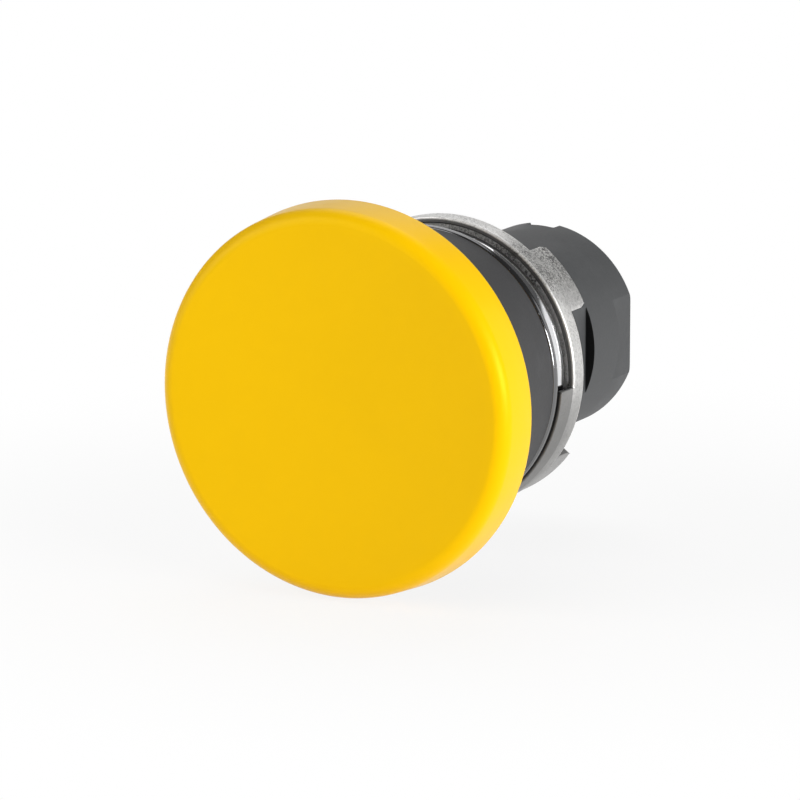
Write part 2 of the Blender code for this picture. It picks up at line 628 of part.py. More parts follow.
def plunger_seal():
    """Rubber lip seal: a solid outer ring and a lip that leans forward to the plunger."""
    outer = NOSE_RADIUS
    lip = PLUNGER_RADIUS + SEAL_LIP_GAP
    inner = outer - SEAL_BODY_WALL
    profile = [
        (lip, SEAL_FRONT), (lip + SEAL_LIP_WALL, SEAL_FRONT),
        (inner + GAP, SEAL_FRONT + SEAL_LENGTH / 2.0), (inner + 2.0 * GAP, SEAL_FRONT),
        (outer, SEAL_FRONT), (outer, SEAL_REAR), (inner - GAP, SEAL_REAR)]
    return place("plunger_seal", turned_mesh("plunger_seal", profile, INNER_STEPS), RUBBER)


def seal_retainer():
    """Ring that holds the seal and the bush."""
    return flat_ring("seal_retainer", PLUNGER_RADIUS + 2.0 * GAP, NOSE_RADIUS,
                     RETAINER_FRONT, RETAINER_REAR, INNER_STEPS, DARK_GREY)


def guide_collar():
    """Dark sleeve behind the cap: a moat in front, a web for the seal, a spigot behind."""
    edge = arc((COLLAR_RADIUS - COLLAR_EDGE_ROUND, COLLAR_FRONT + COLLAR_EDGE_ROUND),
               COLLAR_EDGE_ROUND, -90.0, 0.0, SMALL_ROUND_STEPS)
    profile = edge + [
        (COLLAR_RADIUS, COLLAR_SHOULDER), (COLLAR_SPIGOT_RADIUS, COLLAR_SHOULDER),
        (COLLAR_SPIGOT_RADIUS, COLLAR_REAR), (COLLAR_REAR_BORE, COLLAR_REAR),
        (COLLAR_REAR_BORE, COLLAR_WEB_REAR), (COLLAR_WEB_BORE, COLLAR_WEB_REAR),
        (COLLAR_WEB_BORE, COLLAR_WEB_FRONT), (COLLAR_BORE_RADIUS, COLLAR_WEB_FRONT),
        (COLLAR_BORE_RADIUS, COLLAR_FRONT)]
    return place("guide_collar", turned_mesh("guide_collar", profile, ROUND_STEPS), DARK_GREY)


def collar_gasket():
    """Flat rubber ring between the collar and the body's flange."""
    return flat_ring("collar_gasket", COLLAR_REAR_BORE, COLLAR_SPIGOT_RADIUS,
                     COLLAR_GASKET_FRONT, COLLAR_GASKET_REAR, INNER_STEPS, RUBBER)


def bezel_ring():
    """Plated ring: rounded lip, a groove behind it and a bulging polished band."""
    lip_front = arc((LIP_RADIUS - LIP_ROUND, LIP_FRONT + LIP_ROUND), LIP_ROUND, -90.0, 0.0,
                    SMALL_ROUND_STEPS)
    lip_rear = arc((LIP_RADIUS - LIP_ROUND, LIP_REAR - LIP_ROUND), LIP_ROUND, 0.0, 90.0,
                   SMALL_ROUND_STEPS)
    band_front = LIP_REAR + BEZEL_GROOVE_WIDTH
    half = (BEZEL_REAR - band_front) / 2.0
    radius = (half ** 2 + BEZEL_BULGE ** 2) / (2.0 * BEZEL_BULGE)
    spread = degrees(asin(half / radius))
    centre = (BEZEL_BAND_RADIUS + BEZEL_BULGE - radius, band_front + half)
    band = arc(centre, radius, -spread, spread, BULGE_STEPS)
    profile = lip_front + lip_rear + [(BEZEL_BAND_RADIUS, LIP_REAR)] + band + [
        (BEZEL_BORE, BEZEL_REAR), (BEZEL_BORE, LIP_REAR), (LIP_BORE, LIP_REAR),
        (LIP_BORE, LIP_FRONT)]
    return place("bezel_ring", turned_mesh("bezel_ring", profile, ROUND_STEPS), CHROME)


def wall_sector(name, inner, outer, front, rear, centre, sweep, corner=0.0):
    """A piece of cylinder wall; its rear corners are rounded when corner is not zero."""
    bm = bmesh.new()
    half = radians(sweep) / 2.0
    angles = [half * (2.0 * i / SECTOR_STEPS - 1.0) for i in range(SECTOR_STEPS + 1)]
    if corner > 0.0:
        turn = corner / outer
        inside = [a for a in angles if abs(a) < half - turn]
        left = [-half + turn * (1.0 - cos(radians(90.0 * k / CORNER_STEPS)))
                for k in range(CORNER_STEPS + 1)]
        right = [-a for a in reversed(left)]
        angles = left + inside + right
    columns = []
    for a in angles:
        end = rear
        if corner > 0.0:
            into = max(0.0, abs(a) - (half - corner / outer)) * outer
            end = rear - corner + sqrt(max(0.0, corner ** 2 - into ** 2))
        angle = radians(centre) + a
        columns.append([bm.verts.new(ring_point(r, angle, y)) for r, y in (
            (inner, front), (outer, front), (outer, end), (inner, end))])
    for first, second in zip(columns, columns[1:]):
        for k in range(4):
            n = (k + 1) % 4
            bm.faces.new((first[k], second[k], second[n], first[n]))
    bm.faces.new(columns[0])
    bm.faces.new(columns[-1])
    return mesh_from(name, bm)


def carrier_ring():
    """Cast ring: a band and a web, two long lands in front and four rounded feet behind."""
    outside = BAND_RADIUS - BAND_EDGE_BREAK
    profile = [
        (WEB_BORE, WEB_FRONT), (LAND_BORE, WEB_FRONT), (LAND_BORE, BAND_FRONT),
        (outside, BAND_FRONT), (BAND_RADIUS, BAND_FRONT + BAND_EDGE_BREAK),
        (BAND_RADIUS, BAND_REAR - BAND_EDGE_BREAK), (outside, BAND_REAR), (WEB_BORE, BAND_REAR)]
    ring = place("carrier_ring", turned_mesh("carrier_ring", profile, ROUND_STEPS), CAST_ZINC)
    additions = []
    for i in range(LAND_COUNT):
        centre = LAND_END_ANGLE - LAND_SWEEP / 2.0 + 360.0 * i / LAND_COUNT
        additions.append(wall_sector(
            "land", LAND_BORE + BAND_STEP, LAND_RADIUS, LAND_FRONT,
            BAND_FRONT + OVERLAP, centre, LAND_SWEEP))
    for i in range(FOOT_COUNT):
        centre = FOOT_CENTRE_ANGLE + 360.0 * i / FOOT_COUNT
        additions.append(wall_sector(
            "foot", FOOT_BORE, FOOT_RADIUS, BAND_REAR - OVERLAP, 0.0,
            centre, FOOT_SWEEP, FOOT_CORNER_RADIUS))
    join(ring, "carrier_lands_and_feet_tool",
         joined_meshes("carrier_lands_and_feet_tool", additions))
    smooth_after_booleans(ring)
    return ring


def lock_ring():
    """Snap ring in the body's groove, behind the web of the carrier ring."""
    return open_ring("lock_ring", LOCK_RING_INNER_RADIUS, LOCK_RING_OUTER_RADIUS,
                     LOCK_RING_FRONT, LOCK_RING_REAR, LOCK_RING_OPENING, -90.0, INNER_STEPS,
                     SPRING_STEEL)


def panel_gasket():
    """Rubber ring inside the feet, round the lock ring, with its rear face on the panel."""
    profile = [
        (GASKET_LIP_BORE, LOCK_RING_FRONT), (GASKET_OUTER_RADIUS, LOCK_RING_FRONT),
        (GASKET_OUTER_RADIUS, -GASKET_CHAMFER), (GASKET_OUTER_RADIUS - GASKET_CHAMFER, 0.0),
        (GASKET_INNER_RADIUS, 0.0), (GASKET_INNER_RADIUS, NECK_START),
        (GASKET_LIP_BORE, NECK_START)]
    return place("panel_gasket", turned_mesh("panel_gasket", profile, ROUND_STEPS), RUBBER)


def rear_body():
    """Body: nose, flange, tube, partition, neck flats, end flats, rim notch and key rib."""
    groove = LOCK_GROOVE_RADIUS
    profile = [
        (COUNTERBORE_RADIUS, NOSE_FRONT), (NOSE_RADIUS, NOSE_FRONT),
        (NOSE_RADIUS, FLANGE_FRONT), (FLANGE_RADIUS, FLANGE_FRONT),
        (FLANGE_RADIUS, FLANGE_REAR), (BODY_RADIUS, FLANGE_REAR),
        (BODY_RADIUS, BAND_REAR), (groove, BAND_REAR), (groove, NECK_START),
        (BODY_RADIUS, NECK_START), (BODY_RADIUS, BODY_LENGTH - BODY_EDGE_BREAK),
        (BODY_RADIUS - BODY_EDGE_BREAK, BODY_LENGTH), (REAR_BORE_RADIUS, BODY_LENGTH),
        (REAR_BORE_RADIUS, PARTITION_REAR), (PARTITION_BORE, PARTITION_REAR),
        (PARTITION_BORE, PARTITION_FRONT), (FRONT_BORE_RADIUS, PARTITION_FRONT),
        (FRONT_BORE_RADIUS, BUSH_REAR + GAP), (COUNTERBORE_RADIUS, BUSH_REAR + GAP)]
    body = place("rear_body", turned_mesh("rear_body", profile, ROUND_STEPS), BODY_GREY)
    reach = BODY_RADIUS + OVERLAP
    cuts = []
    for turn in (0.0, 180.0):
        cuts.append(box_mesh("neck", (NECK_FLAT, NECK_START + GAP, -reach),
                             (reach, NECK_SHOULDER, reach), turn))
        cuts.append(box_mesh("end", (END_FLAT, BODY_LENGTH - END_FLAT_LENGTH, -reach),
                             (reach, BODY_LENGTH + OVERLAP, reach), turn))
    half = RIM_NOTCH_WIDTH / 2.0
    cuts.append(box_mesh("notch", (REAR_BORE_RADIUS - OVERLAP, BODY_LENGTH - RIM_NOTCH_DEPTH, -half),
                         (reach, BODY_LENGTH + OVERLAP, half), 90.0))
    cut(body, "body_flats_tool", joined_meshes("body_flats_tool", cuts))
    additions = []
    half = STEM_KEY_WIDTH / 2.0
    for turn in (0.0, 180.0):
        additions.append(box_mesh(
            "key", (STEM_RADIUS - STEM_KEY_DEPTH + GAP, PARTITION_FRONT + GAP / 2.0, -half),
            (PARTITION_BORE + OVERLAP, PARTITION_REAR - GAP / 2.0, half), turn))
    half = KEY_RIB_WIDTH / 2.0
    additions.append(box_mesh("rib", (BODY_RADIUS - OVERLAP, GAP, -half),
                              (KEY_RIB_RADIUS, GAP + KEY_RIB_LENGTH, half), 90.0))
    join(body, "body_keys_tool", joined_meshes("body_keys_tool", additions))
    smooth_after_booleans(body)
    return body


def build():
    """Make every piece; the moving ones hang on an empty on the button's axis."""
    clear_scene()
    button = bpy.data.objects.new("button_slide", None)
    bpy.context.scene.collection.objects.link(button)
    mushroom_cap(button)
    cap_clip(button)
    plunger_head(button)
    stem_screw(button)
    stem(button)
    actuator_plate(button)
    stop_ring(button)
    spring_seat(button)
    return_spring()
    spring_cup()
    bumper_washer()
    guide_bush()
    plunger_seal()
    seal_retainer()
    guide_collar()
    collar_gasket()
    bezel_ring()
    carrier_ring()
    lock_ring()
    panel_gasket()
    rear_body()


build()
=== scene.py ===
"""Studio scene of a mushroom pushbutton head for a 22 mm panel hole, laid out as an add-on.

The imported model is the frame. Every piece that shows is modelled again here at full detail, in
the same place, and rides on the body of the piece it stands for. Lengths are in metres, the axis
of the button is Y, the cap faces -Y and Z is up.
"""
import json
from math import atan2, cos, degrees, hypot, pi, radians, sin

import bmesh
import bpy
from bpy.props import FloatProperty, FloatVectorProperty, IntProperty, PointerProperty
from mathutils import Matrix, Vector

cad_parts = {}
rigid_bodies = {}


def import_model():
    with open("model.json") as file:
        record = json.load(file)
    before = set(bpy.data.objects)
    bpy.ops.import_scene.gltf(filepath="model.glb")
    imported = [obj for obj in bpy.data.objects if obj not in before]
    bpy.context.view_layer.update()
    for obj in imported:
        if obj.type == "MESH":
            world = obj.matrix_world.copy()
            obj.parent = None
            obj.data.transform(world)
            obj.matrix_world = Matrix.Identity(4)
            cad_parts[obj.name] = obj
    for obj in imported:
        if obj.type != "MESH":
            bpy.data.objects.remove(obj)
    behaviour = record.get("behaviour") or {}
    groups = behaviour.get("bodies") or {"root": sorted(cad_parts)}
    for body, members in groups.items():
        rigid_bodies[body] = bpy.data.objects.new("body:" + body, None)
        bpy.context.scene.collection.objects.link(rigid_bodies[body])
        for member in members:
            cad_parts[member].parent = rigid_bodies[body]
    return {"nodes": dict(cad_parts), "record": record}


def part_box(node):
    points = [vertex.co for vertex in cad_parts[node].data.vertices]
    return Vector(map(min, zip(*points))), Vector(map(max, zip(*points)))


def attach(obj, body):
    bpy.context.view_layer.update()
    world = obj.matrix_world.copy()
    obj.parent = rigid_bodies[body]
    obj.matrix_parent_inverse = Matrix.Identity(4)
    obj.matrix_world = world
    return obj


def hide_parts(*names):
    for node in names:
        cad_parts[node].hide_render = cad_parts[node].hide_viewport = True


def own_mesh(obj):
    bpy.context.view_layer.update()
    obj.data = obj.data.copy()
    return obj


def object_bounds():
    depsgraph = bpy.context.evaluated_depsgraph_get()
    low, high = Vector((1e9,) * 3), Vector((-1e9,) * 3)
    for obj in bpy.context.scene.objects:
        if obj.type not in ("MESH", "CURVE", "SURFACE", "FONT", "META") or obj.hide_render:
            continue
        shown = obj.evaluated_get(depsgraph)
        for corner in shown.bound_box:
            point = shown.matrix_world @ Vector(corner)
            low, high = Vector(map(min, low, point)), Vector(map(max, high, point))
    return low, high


bl_info = {
    "name": "Mushroom Pushbutton Head",
    "version": (1, 0, 0),
    "blender": (4, 5, 0),
    "location": "View3D > Sidebar > Pushbutton",
    "description": "Models and finishes the pieces of a 22 mm mushroom pushbutton head",
    "category": "Object",
}

for start_item in list(bpy.data.objects):
    bpy.data.objects.remove(start_item, do_unlink=True)

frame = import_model()
CAD_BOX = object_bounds()
MM = 0.001
FIT = 0.3 * MM          # the gap that the frame keeps between touching pieces
NEAR = 3e-6             # how far a vertex may lie from where it is looked for
NEAR_TURN = 0.02        # the same round the axis, in degrees
WELD = 2e-6             # how near vertices are one

CAP_LOW, CAP_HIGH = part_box("mushroom_cap")
COLLAR_LOW, COLLAR_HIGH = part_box("guide_collar")
BEZEL_LOW, BEZEL_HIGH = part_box("bezel_ring")
CARRIER_LOW, CARRIER_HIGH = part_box("carrier_ring")
BODY_LOW, BODY_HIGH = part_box("rear_body")
GASKET_LOW, GASKET_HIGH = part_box("panel_gasket")
LOCK_LOW, LOCK_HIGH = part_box("lock_ring")
CLIP_LOW, CLIP_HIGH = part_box("cap_clip")
PLUNGER_LOW, PLUNGER_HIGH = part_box("plunger_head")
STEM_LOW, STEM_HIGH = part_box("stem")
PLATE_LOW, PLATE_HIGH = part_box("actuator_plate")
STOP_LOW, STOP_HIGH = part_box("stop_ring")
BUMPER_LOW, BUMPER_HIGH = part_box("bumper_washer")
BUSH_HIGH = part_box("guide_bush")[1]
SPRING_LOW, SPRING_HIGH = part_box("return_spring")

BODY_OF = {}
for body_name, members in frame["record"]["behaviour"]["bodies"].items():
    for member in members:
        BODY_OF[member] = body_name


# Settings that a user may change

def length(label, text, default):
    """A size in metres."""
    return FloatProperty(name=label, description=text, default=default, min=0.0,
                         precision=5, unit="LENGTH", subtype="DISTANCE")


def number(label, text, default, least=0.0, unit="NONE"):
    """A plain number, or a power."""
    return FloatProperty(name=label, description=text, default=default, min=least, unit=unit)


def count(label, text, default, least=32):
    """A whole number."""
    return IntProperty(name=label, description=text, default=default, min=least)


def turn(label, text, default):
    """An angle, written in degrees."""
    return FloatProperty(name=label, description=text, default=radians(default),
                         unit="ROTATION", subtype="ANGLE")


def paint(label, text, red, green, blue):
    """A colour, written as it shows on a screen from 0 to 255."""
    def linear(value):
        share = value / 255.0
        return share / 12.92 if share <= 0.04045 else ((share + 0.055) / 1.055) ** 2.4
    return FloatVectorProperty(name=label, description=text, subtype="COLOR", size=3,
                               min=0.0, max=1.0,
                               default=(linear(red), linear(green), linear(blue)))


class CapShape(bpy.types.PropertyGroup):
    """Sizes of the mushroom cap."""
    radius: length("Radius", "Half the width of the cap", CAP_HIGH.x)
    edge: length("Edge radius", "Rounding between the face and the side", 1.35 * MM)
    draft: length("Side draft", "How much narrower the side is in front", 0.4 * MM)
    dish: length("Dish depth", "How far the middle of the face is sunk", 0.8 * MM)
    height: length("Height", "From the face to the rear rim", 5.0 * MM)
    wall: length("Skirt wall", "Thickness of the skirt", 1.6 * MM)
    hollow: length("Hollow depth", "From the rear rim to the inner roof", 2.6 * MM)
    facets: count("Facets", "Facets round the cap", 256)


class CollarShape(bpy.types.PropertyGroup):
    """Sizes of the dark sleeve behind the cap."""
    wall: length("Wall", "Thickness of the sleeve in front", 1.65 * MM)
    edge: length("Edge radius", "Rounding of the front edge", 0.6 * MM)
    moat: length("Moat depth", "Depth of the recess behind the cap", 4.6 * MM)
    facets: count("Facets", "Facets round the sleeve", 192)


class BezelShape(bpy.types.PropertyGroup):
    """Sizes of the bright plated ring."""
    lip: length("Lip width", "Length of the lip along the axis", 0.85 * MM)
    rounding: length("Lip rounding", "Rounding of the lip's edges", 0.25 * MM)
    bulge: length("Band bulge", "How far the polished band swells", 0.40 * MM)
    facets: count("Facets", "Facets round the ring", 192)


class CarrierShape(bpy.types.PropertyGroup):
    """Sizes of the cast ring with its lands and feet."""
    land_start: turn("Land start", "Where the first land begins round the axis", -65.5)
    land_sweep: turn("Land sweep", "How far each of the two lands reaches", 62.0)
    foot_start: turn("Foot start", "Where the first foot begins round the axis", 25.0)
    foot_sweep: turn("Foot sweep", "How far each of the four feet reaches", 29.0)
    land_length: length("Land length", "How far the lands stand forward", 2.55 * MM)
    foot_length: length("Foot length", "How far the feet stand back", 3.3 * MM)
    foot_corner: length("Foot corner", "Rounding of the feet's corners", 0.9 * MM)
    edge: length("Edge", "Rounding of the casting's edges", 0.12 * MM)
    facets: count("Facets", "Facets round the ring", 192)


class BodyShape(bpy.types.PropertyGroup):
    """Sizes of the rear body."""
    radius: length("Radius", "Half the width of the tube", 10.9 * MM)
    neck_flat: length("Neck flat", "From the axis to the neck flats", 9.9 * MM)
    neck_end: length("Neck shoulder", "Where the neck flats end behind the panel", 7.8 * MM)
    end_flat: length("End flat", "From the axis to the end flats", 10.04 * MM)
    end_length: length("End flat length", "Length of the end flats", 4.3 * MM)
    notch_width: length("Notch width", "Width of the notch in the rear rim", 3.5 * MM)
    notch_depth: length("Notch depth", "Depth of the notch in the rear rim", 1.7 * MM)
    facets: count("Facets", "Facets round the body", 192)


class InnerShape(bpy.types.PropertyGroup):
    """Sizes of the pieces inside."""
    wire: length("Spring wire", "Thickness of the spring's wire", 0.9 * MM)
    turns: number("Spring turns", "Open turns of the spring", 6.0, 1.0)
    end_pitch: length("End pitch", "Rise of the spring's close end turns", 1.08 * MM)
    slots: count("Plate slots", "Slots in the plate", 4, 2)
    slot_width: length("Slot width", "Width of the plate's slots", 3.0 * MM)
    slot_depth: length("Slot depth", "Depth of the plate's slots", 2.2 * MM)
    facets: count("Facets", "Facets round the pieces", 96)


class FinishColours(bpy.types.PropertyGroup):
    """Colours of the finishes."""
    yellow: paint("Cap yellow", "Moulded cap", 244, 192, 2)
    collar: paint("Dark grey", "Sleeve and plunger head", 65, 65, 66)
    body: paint("Body grey", "Rear body", 74, 75, 76)
    zinc: paint("Cast zinc", "Cast ring", 226, 225, 223)
    plating: paint("Bright plating", "Plated ring", 228, 228, 230)
    rubber: paint("Rubber", "Gasket and bumper", 34, 34, 35)
    natural: paint("Natural plastic", "Stem and plate", 226, 222, 208)
    steel: paint("Spring steel", "Spring and snap rings", 172, 172, 174)
    zinc_plate: paint("Zinc plate", "Screw and spring seat", 200, 203, 208)


class StudioSettings(bpy.types.PropertyGroup):
    """Camera, lamps and floor."""
    azimuth: turn("Azimuth", "How far the camera stands to the right of the axis", 28.739)
    elevation: turn("Elevation", "How far the camera looks down", 12.436)
    distance: length("Distance", "From the camera to what it aims at", 0.55)
    aim: FloatVectorProperty(name="Aim", description="The point in the middle of the image",
                             default=(0.004005, -0.021574, -0.00028), subtype="TRANSLATION",
                             unit="LENGTH", precision=5)
    lens: number("Lens", "Focal length on a 36 mm sensor", 248.34, 10.0)
    key: number("Key lamp", "Power of the soft lamp on the right", 9.6, unit="POWER")
    fill: number("Fill lamp", "Power of the soft lamp on the left", 3.7, unit="POWER")
    top: number("Top lamp", "Power of the soft lamp above", 2.6, unit="POWER")
    world: number("Room light", "Light from all round", 0.27)
    floor: paint("Floor", "Colour of the plain floor", 246, 246, 246)


# Materials: sums on sockets read as plain expressions

class Wire:
    """One output socket of a material's node."""

    def __init__(self, finish, socket):
        self.finish = finish
        self.socket = socket

    def maths(self, operation, first, second):
        return self.finish.node("ShaderNodeMath", {"operation": operation},
                                {0: first, 1: second})

    def __add__(self, other):
        return self.maths("ADD", self, other)

    def __radd__(self, other):
        return self.maths("ADD", other, self)

    def __sub__(self, other):
        return self.maths("SUBTRACT", self, other)

    def __rsub__(self, other):
        return self.maths("SUBTRACT", other, self)

    def __mul__(self, other):
        return self.maths("MULTIPLY", self, other)

    def __rmul__(self, other):
        return self.maths("MULTIPLY", other, self)

    def between(self, low, high):
        """0 below low, 1 above high and a smooth step between them."""
        return self.finish.node(
            "ShaderNodeMapRange", {"interpolation_type": "SMOOTHSTEP"},
            {"Value": self, "From Min": low, "From Max": high})


class Tree:
    """A node tree under construction."""

    def __init__(self, owner):
        self.owner = owner
        owner.use_nodes = True
        self.tree = owner.node_tree

    def node(self, kind, settings=None, inputs=None, output=0):
        """Add a node: its settings first, then the values or links of its sockets."""
        made = self.tree.nodes.new(kind)
        for key, value in (settings or {}).items():
            setattr(made, key, value)
        for key, value in (inputs or {}).items():
            self.feed(made.inputs[key], value)
        return Wire(self, made.outputs[output])

    def feed(self, socket, value):
        """Link a wire to a socket, or set the socket's own value."""
        if isinstance(value, Wire):
            self.tree.links.new(value.socket, socket)
        else:
            socket.default_value = value

    def towards(self, way, aim):
        """How closely a direction follows another one: 1 where they agree."""
        return self.node("ShaderNodeVectorMath", {"operation": "DOT_PRODUCT"},
                         {0: way, 1: aim}, "Value")

    def background_share(self):
        """1 for rays that show the background: to the camera, off gloss or through glass."""
        share = self.node("ShaderNodeLightPath", output="Is Camera Ray")
        for kind in ("Is Glossy Ray", "Is Transmission Ray"):
            other = self.node("ShaderNodeLightPath", output=kind)
            share = self.node("ShaderNodeMath", {"operation": "MAXIMUM"}, {0: share, 1: other})
        return share


class Finish(Tree):
    """A material under construction."""

    def __init__(self, name):
        super().__init__(bpy.data.materials.new(name))
        self.material = self.owner
        self.shader = self.tree.nodes["Principled BSDF"]
        self.place = self.node("ShaderNodeTexCoord", output="Object")

    def shine(self, **values):
        """Set or link the shader's sockets; underscores in a name stand for spaces."""
        for key, value in values.items():
            self.feed(self.shader.inputs[key.replace("_", " ")], value)

    def noise(self, scale, detail=3.0, rough=0.55, place=None):
        """Noise with about so many waves in a metre."""
        return self.node("ShaderNodeTexNoise", None,
                         {"Vector": place or self.place, "Scale": scale, "Detail": detail,
                          "Roughness": rough})

    def stretched(self, scale):
        """Object coordinates, stretched along an axis."""
        return self.node("ShaderNodeMapping", None, {"Vector": self.place, "Scale": scale})

    def along(self, axis):
        """The object coordinate X, Y or Z."""
        return self.node("ShaderNodeSeparateXYZ", None, {0: self.place}, axis)

    def length(self, vector):
        """Length of a vector."""
        return self.node("ShaderNodeVectorMath", {"operation": "LENGTH"}, {0: vector}, "Value")

    def radius(self):
        """Distance from the button's axis."""
        return self.length(self.stretched((1.0, 0.0, 1.0)))

    def mix(self, share, first, second):
        """Blend two colours."""
        return self.node("ShaderNodeMix", {"data_type": "RGBA"},
                         {0: share, 6: first, 7: second}, output=2)

    def bump(self, height, strength, distance, below=None):
        """Raise the surface by a height, on top of an earlier bump."""
        inputs = {"Height": height, "Strength": strength, "Distance": distance}
        if below is not None:
            inputs["Normal"] = below
        return self.node("ShaderNodeBump", None, inputs)


def shade(colour, factor):
    """A colour made lighter or darker, as a socket takes it."""
    return (*[min(1.0, part * factor) for part in colour], 1.0)


def cap_finish(name, colour):
    """Satin moulded plastic: even colour, a fine skin and faint flow marks."""
    finish = Finish(name)
    cloud = finish.noise(70.0, 3.0).between(0.35, 0.65)
    skin = finish.noise(2600.0, 2.0, 0.5)
    ripple = finish.noise(240.0, 2.0, 0.5)
    handled = finish.noise(150.0, 5.0, 0.6).between(0.45, 0.75)
    base = finish.mix(cloud, shade(colour, 1.0), shade(colour, 0.985))
    relief = finish.bump(skin, 0.10, 0.04 * MM)
    relief = finish.bump(ripple, 0.05, 0.2 * MM, relief)
    finish.shine(Base_Color=base, Roughness=0.34 + 0.07 * handled + 0.03 * skin,
                 Normal=relief, IOR=1.46, Specular_IOR_Level=0.45,
                 Specular_Tint=(1.0, 0.82, 0.08, 1.0))
    return finish.material


def grained_plastic(name, colour, roughness, grain, neck=None):
    """Matt dark moulding: fine grain, paler rubbed places and painted shade in the neck's rear
    corner.
    """
    finish = Finish(name)
    fine = finish.noise(grain, 3.0, 0.6)
    pores = finish.node("ShaderNodeTexVoronoi", {"feature": "F1"},
                        {"Vector": finish.place, "Scale": grain * 0.55})
    rubbed = finish.noise(120.0, 4.0, 0.6).between(0.50, 0.72)
    base = finish.mix(rubbed, shade(colour, 1.0), shade(colour, 1.12))
    base = finish.mix(0.35 * fine, base, shade(colour, 0.80))
    if neck is not None:
        end, flat, tube = neck.neck_end, neck.neck_flat, neck.radius
        along, across = finish.along("Y"), finish.along("X")
        # Painted shade: the shoulder face where the neck flats end is painted nearly black, for
        # the shade that falls in that corner.
        corner = (along.between(end - 0.35 * MM, end - 0.02 * MM)
                  * (1.0 - along.between(end + 0.01 * MM, end + 0.02 * MM))
                  * (across * across).between((flat - 0.04 * MM) ** 2, (flat - 0.01 * MM) ** 2)
                  * (1.0 - finish.radius().between(tube - 0.06 * MM, tube - 0.01 * MM)))
        base = finish.mix(0.97 * corner, base, shade(colour, 0.02))
    relief = finish.bump(fine, 0.22, 0.05 * MM)
    relief = finish.bump(pores, 0.10, 0.05 * MM, relief)
    finish.shine(Base_Color=base, Roughness=roughness + 0.10 * fine - 0.06 * rubbed,
                 Normal=relief, Specular_IOR_Level=0.22)
    return finish.material


def cast_finish(name, colour):
    """Tumbled zinc casting, speckled on its upper side and rubbed smooth elsewhere, with painted
    shade and pale edges that are partly wear and partly a painted highlight.
    """
    finish = Finish(name)
    shape = bpy.context.scene.button_carrier
    along, high = finish.along("Y"), finish.along("Z")
    band_front = CARRIER_LOW.y + shape.land_length
    band_rear = CARRIER_HIGH.y - shape.foot_length
    grain = finish.noise(5200.0, 3.0, 0.6)
    coarse = finish.noise(2300.0, 4.0, 0.65)
    patch = finish.noise(420.0, 4.0, 0.6)
    pits = finish.noise(3000.0, 3.0, 0.6).between(0.62, 0.70)
    upper = high.between(7.6 * MM, 9.8 * MM) * (1.0 - high.between(12.6 * MM, 14.0 * MM))
    rough = 0.26 + 0.66 * upper + 0.4 * finish.noise(230.0, 3.0, 0.5).between(0.54, 0.64)
    base = finish.mix(patch.between(0.35, 0.65), shade(colour, 1.0), shade(colour, 0.84))
    base = finish.mix(0.78 * grain.between(0.50, 0.58) * rough, base, shade(colour, 0.14))
    base = finish.mix(0.62 * coarse.between(0.53, 0.59) * rough, base, shade(colour, 0.14))
    base = finish.mix(0.60 * pits, base, shade(colour, 0.16))
    # Painted shade: the lands in front of the band are painted darker than the band.
    base = finish.mix(0.80 * (1.0 - along.between(band_front - 0.10 * MM, band_front)), base,
                      shade(colour, 0.22))
    # Painted shade: the ring is painted darker towards the bottom.
    base = finish.mix(0.74 * (1.0 - high.between(-7.0 * MM, 4.0 * MM)), base,
                      shade(colour, 0.25))
    # Paler front and rear edges of the band: partly wear, partly a painted highlight.
    front_edge = (along.between(band_front - 0.05 * MM, band_front + 0.05 * MM)
                  * (1.0 - along.between(band_front + 0.15 * MM, band_front + 0.30 * MM))
                  * high.between(-1.5 * MM, 0.5 * MM))
    rear_edge = (along.between(band_rear - 0.30 * MM, band_rear - 0.15 * MM)
                 * (1.0 - along.between(band_rear - 0.03 * MM, band_rear + 0.10 * MM)))
    wear_and_edge_highlight = (front_edge + rear_edge) * (0.45 + 0.55 * coarse.between(0.40, 0.55))
    base = finish.mix(0.80 * wear_and_edge_highlight, base, shade(colour, 1.25))
    # Painted shade: the front faces inside the band's outer surface are painted nearly black.
    painted_ledge_shade = ((1.0 - finish.radius().between(14.95 * MM, 15.20 * MM))
             * (1.0 - along.between(band_front + 0.10 * MM, band_front + 0.40 * MM)))
    base = finish.mix(0.92 * painted_ledge_shade, base, shade(colour, 0.06))
    relief = finish.bump(grain, 0.45, 0.05 * MM)
    relief = finish.bump(coarse, 0.30, 0.08 * MM, relief)
    relief = finish.bump(1.0 - pits, 0.25, 0.06 * MM, relief)
    finish.shine(Base_Color=base, Roughness=0.34 + 0.16 * grain + 0.12 * pits,
                 Normal=relief, Metallic=0.72)
    return finish.material


def plating_finish(name, colour):
    """Polished plating with faint wipes and dust; the lip is a little duller, and its dark grey
    is painted shade.
    """
    finish = Finish(name)
    wipe = finish.noise(300.0, 4.0, 0.6).between(0.45, 0.70)
    dust = finish.noise(2500.0, 2.0, 0.5).between(0.66, 0.74)
    ripple = finish.noise(700.0, 2.0, 0.5)
    band = finish.along("Y").between(BEZEL_LOW.y + 0.80 * MM, BEZEL_LOW.y + 1.0 * MM)
    base = finish.mix(0.5 * wipe, shade(colour, 1.0), shade(colour, 0.88))
    # Painted shade: the lip is painted far darker than the band, standing for the dark
    # surroundings it mirrors.
    base = finish.mix(band, shade(colour, 0.24), base)
    relief = finish.bump(ripple, 0.06, 0.05 * MM)
    finish.shine(Base_Color=base,
                 Roughness=0.07 + 0.07 * wipe + 0.20 * dust + 0.03 * (1.0 - band),
                 Normal=relief, Metallic=1.0)
    return finish.material


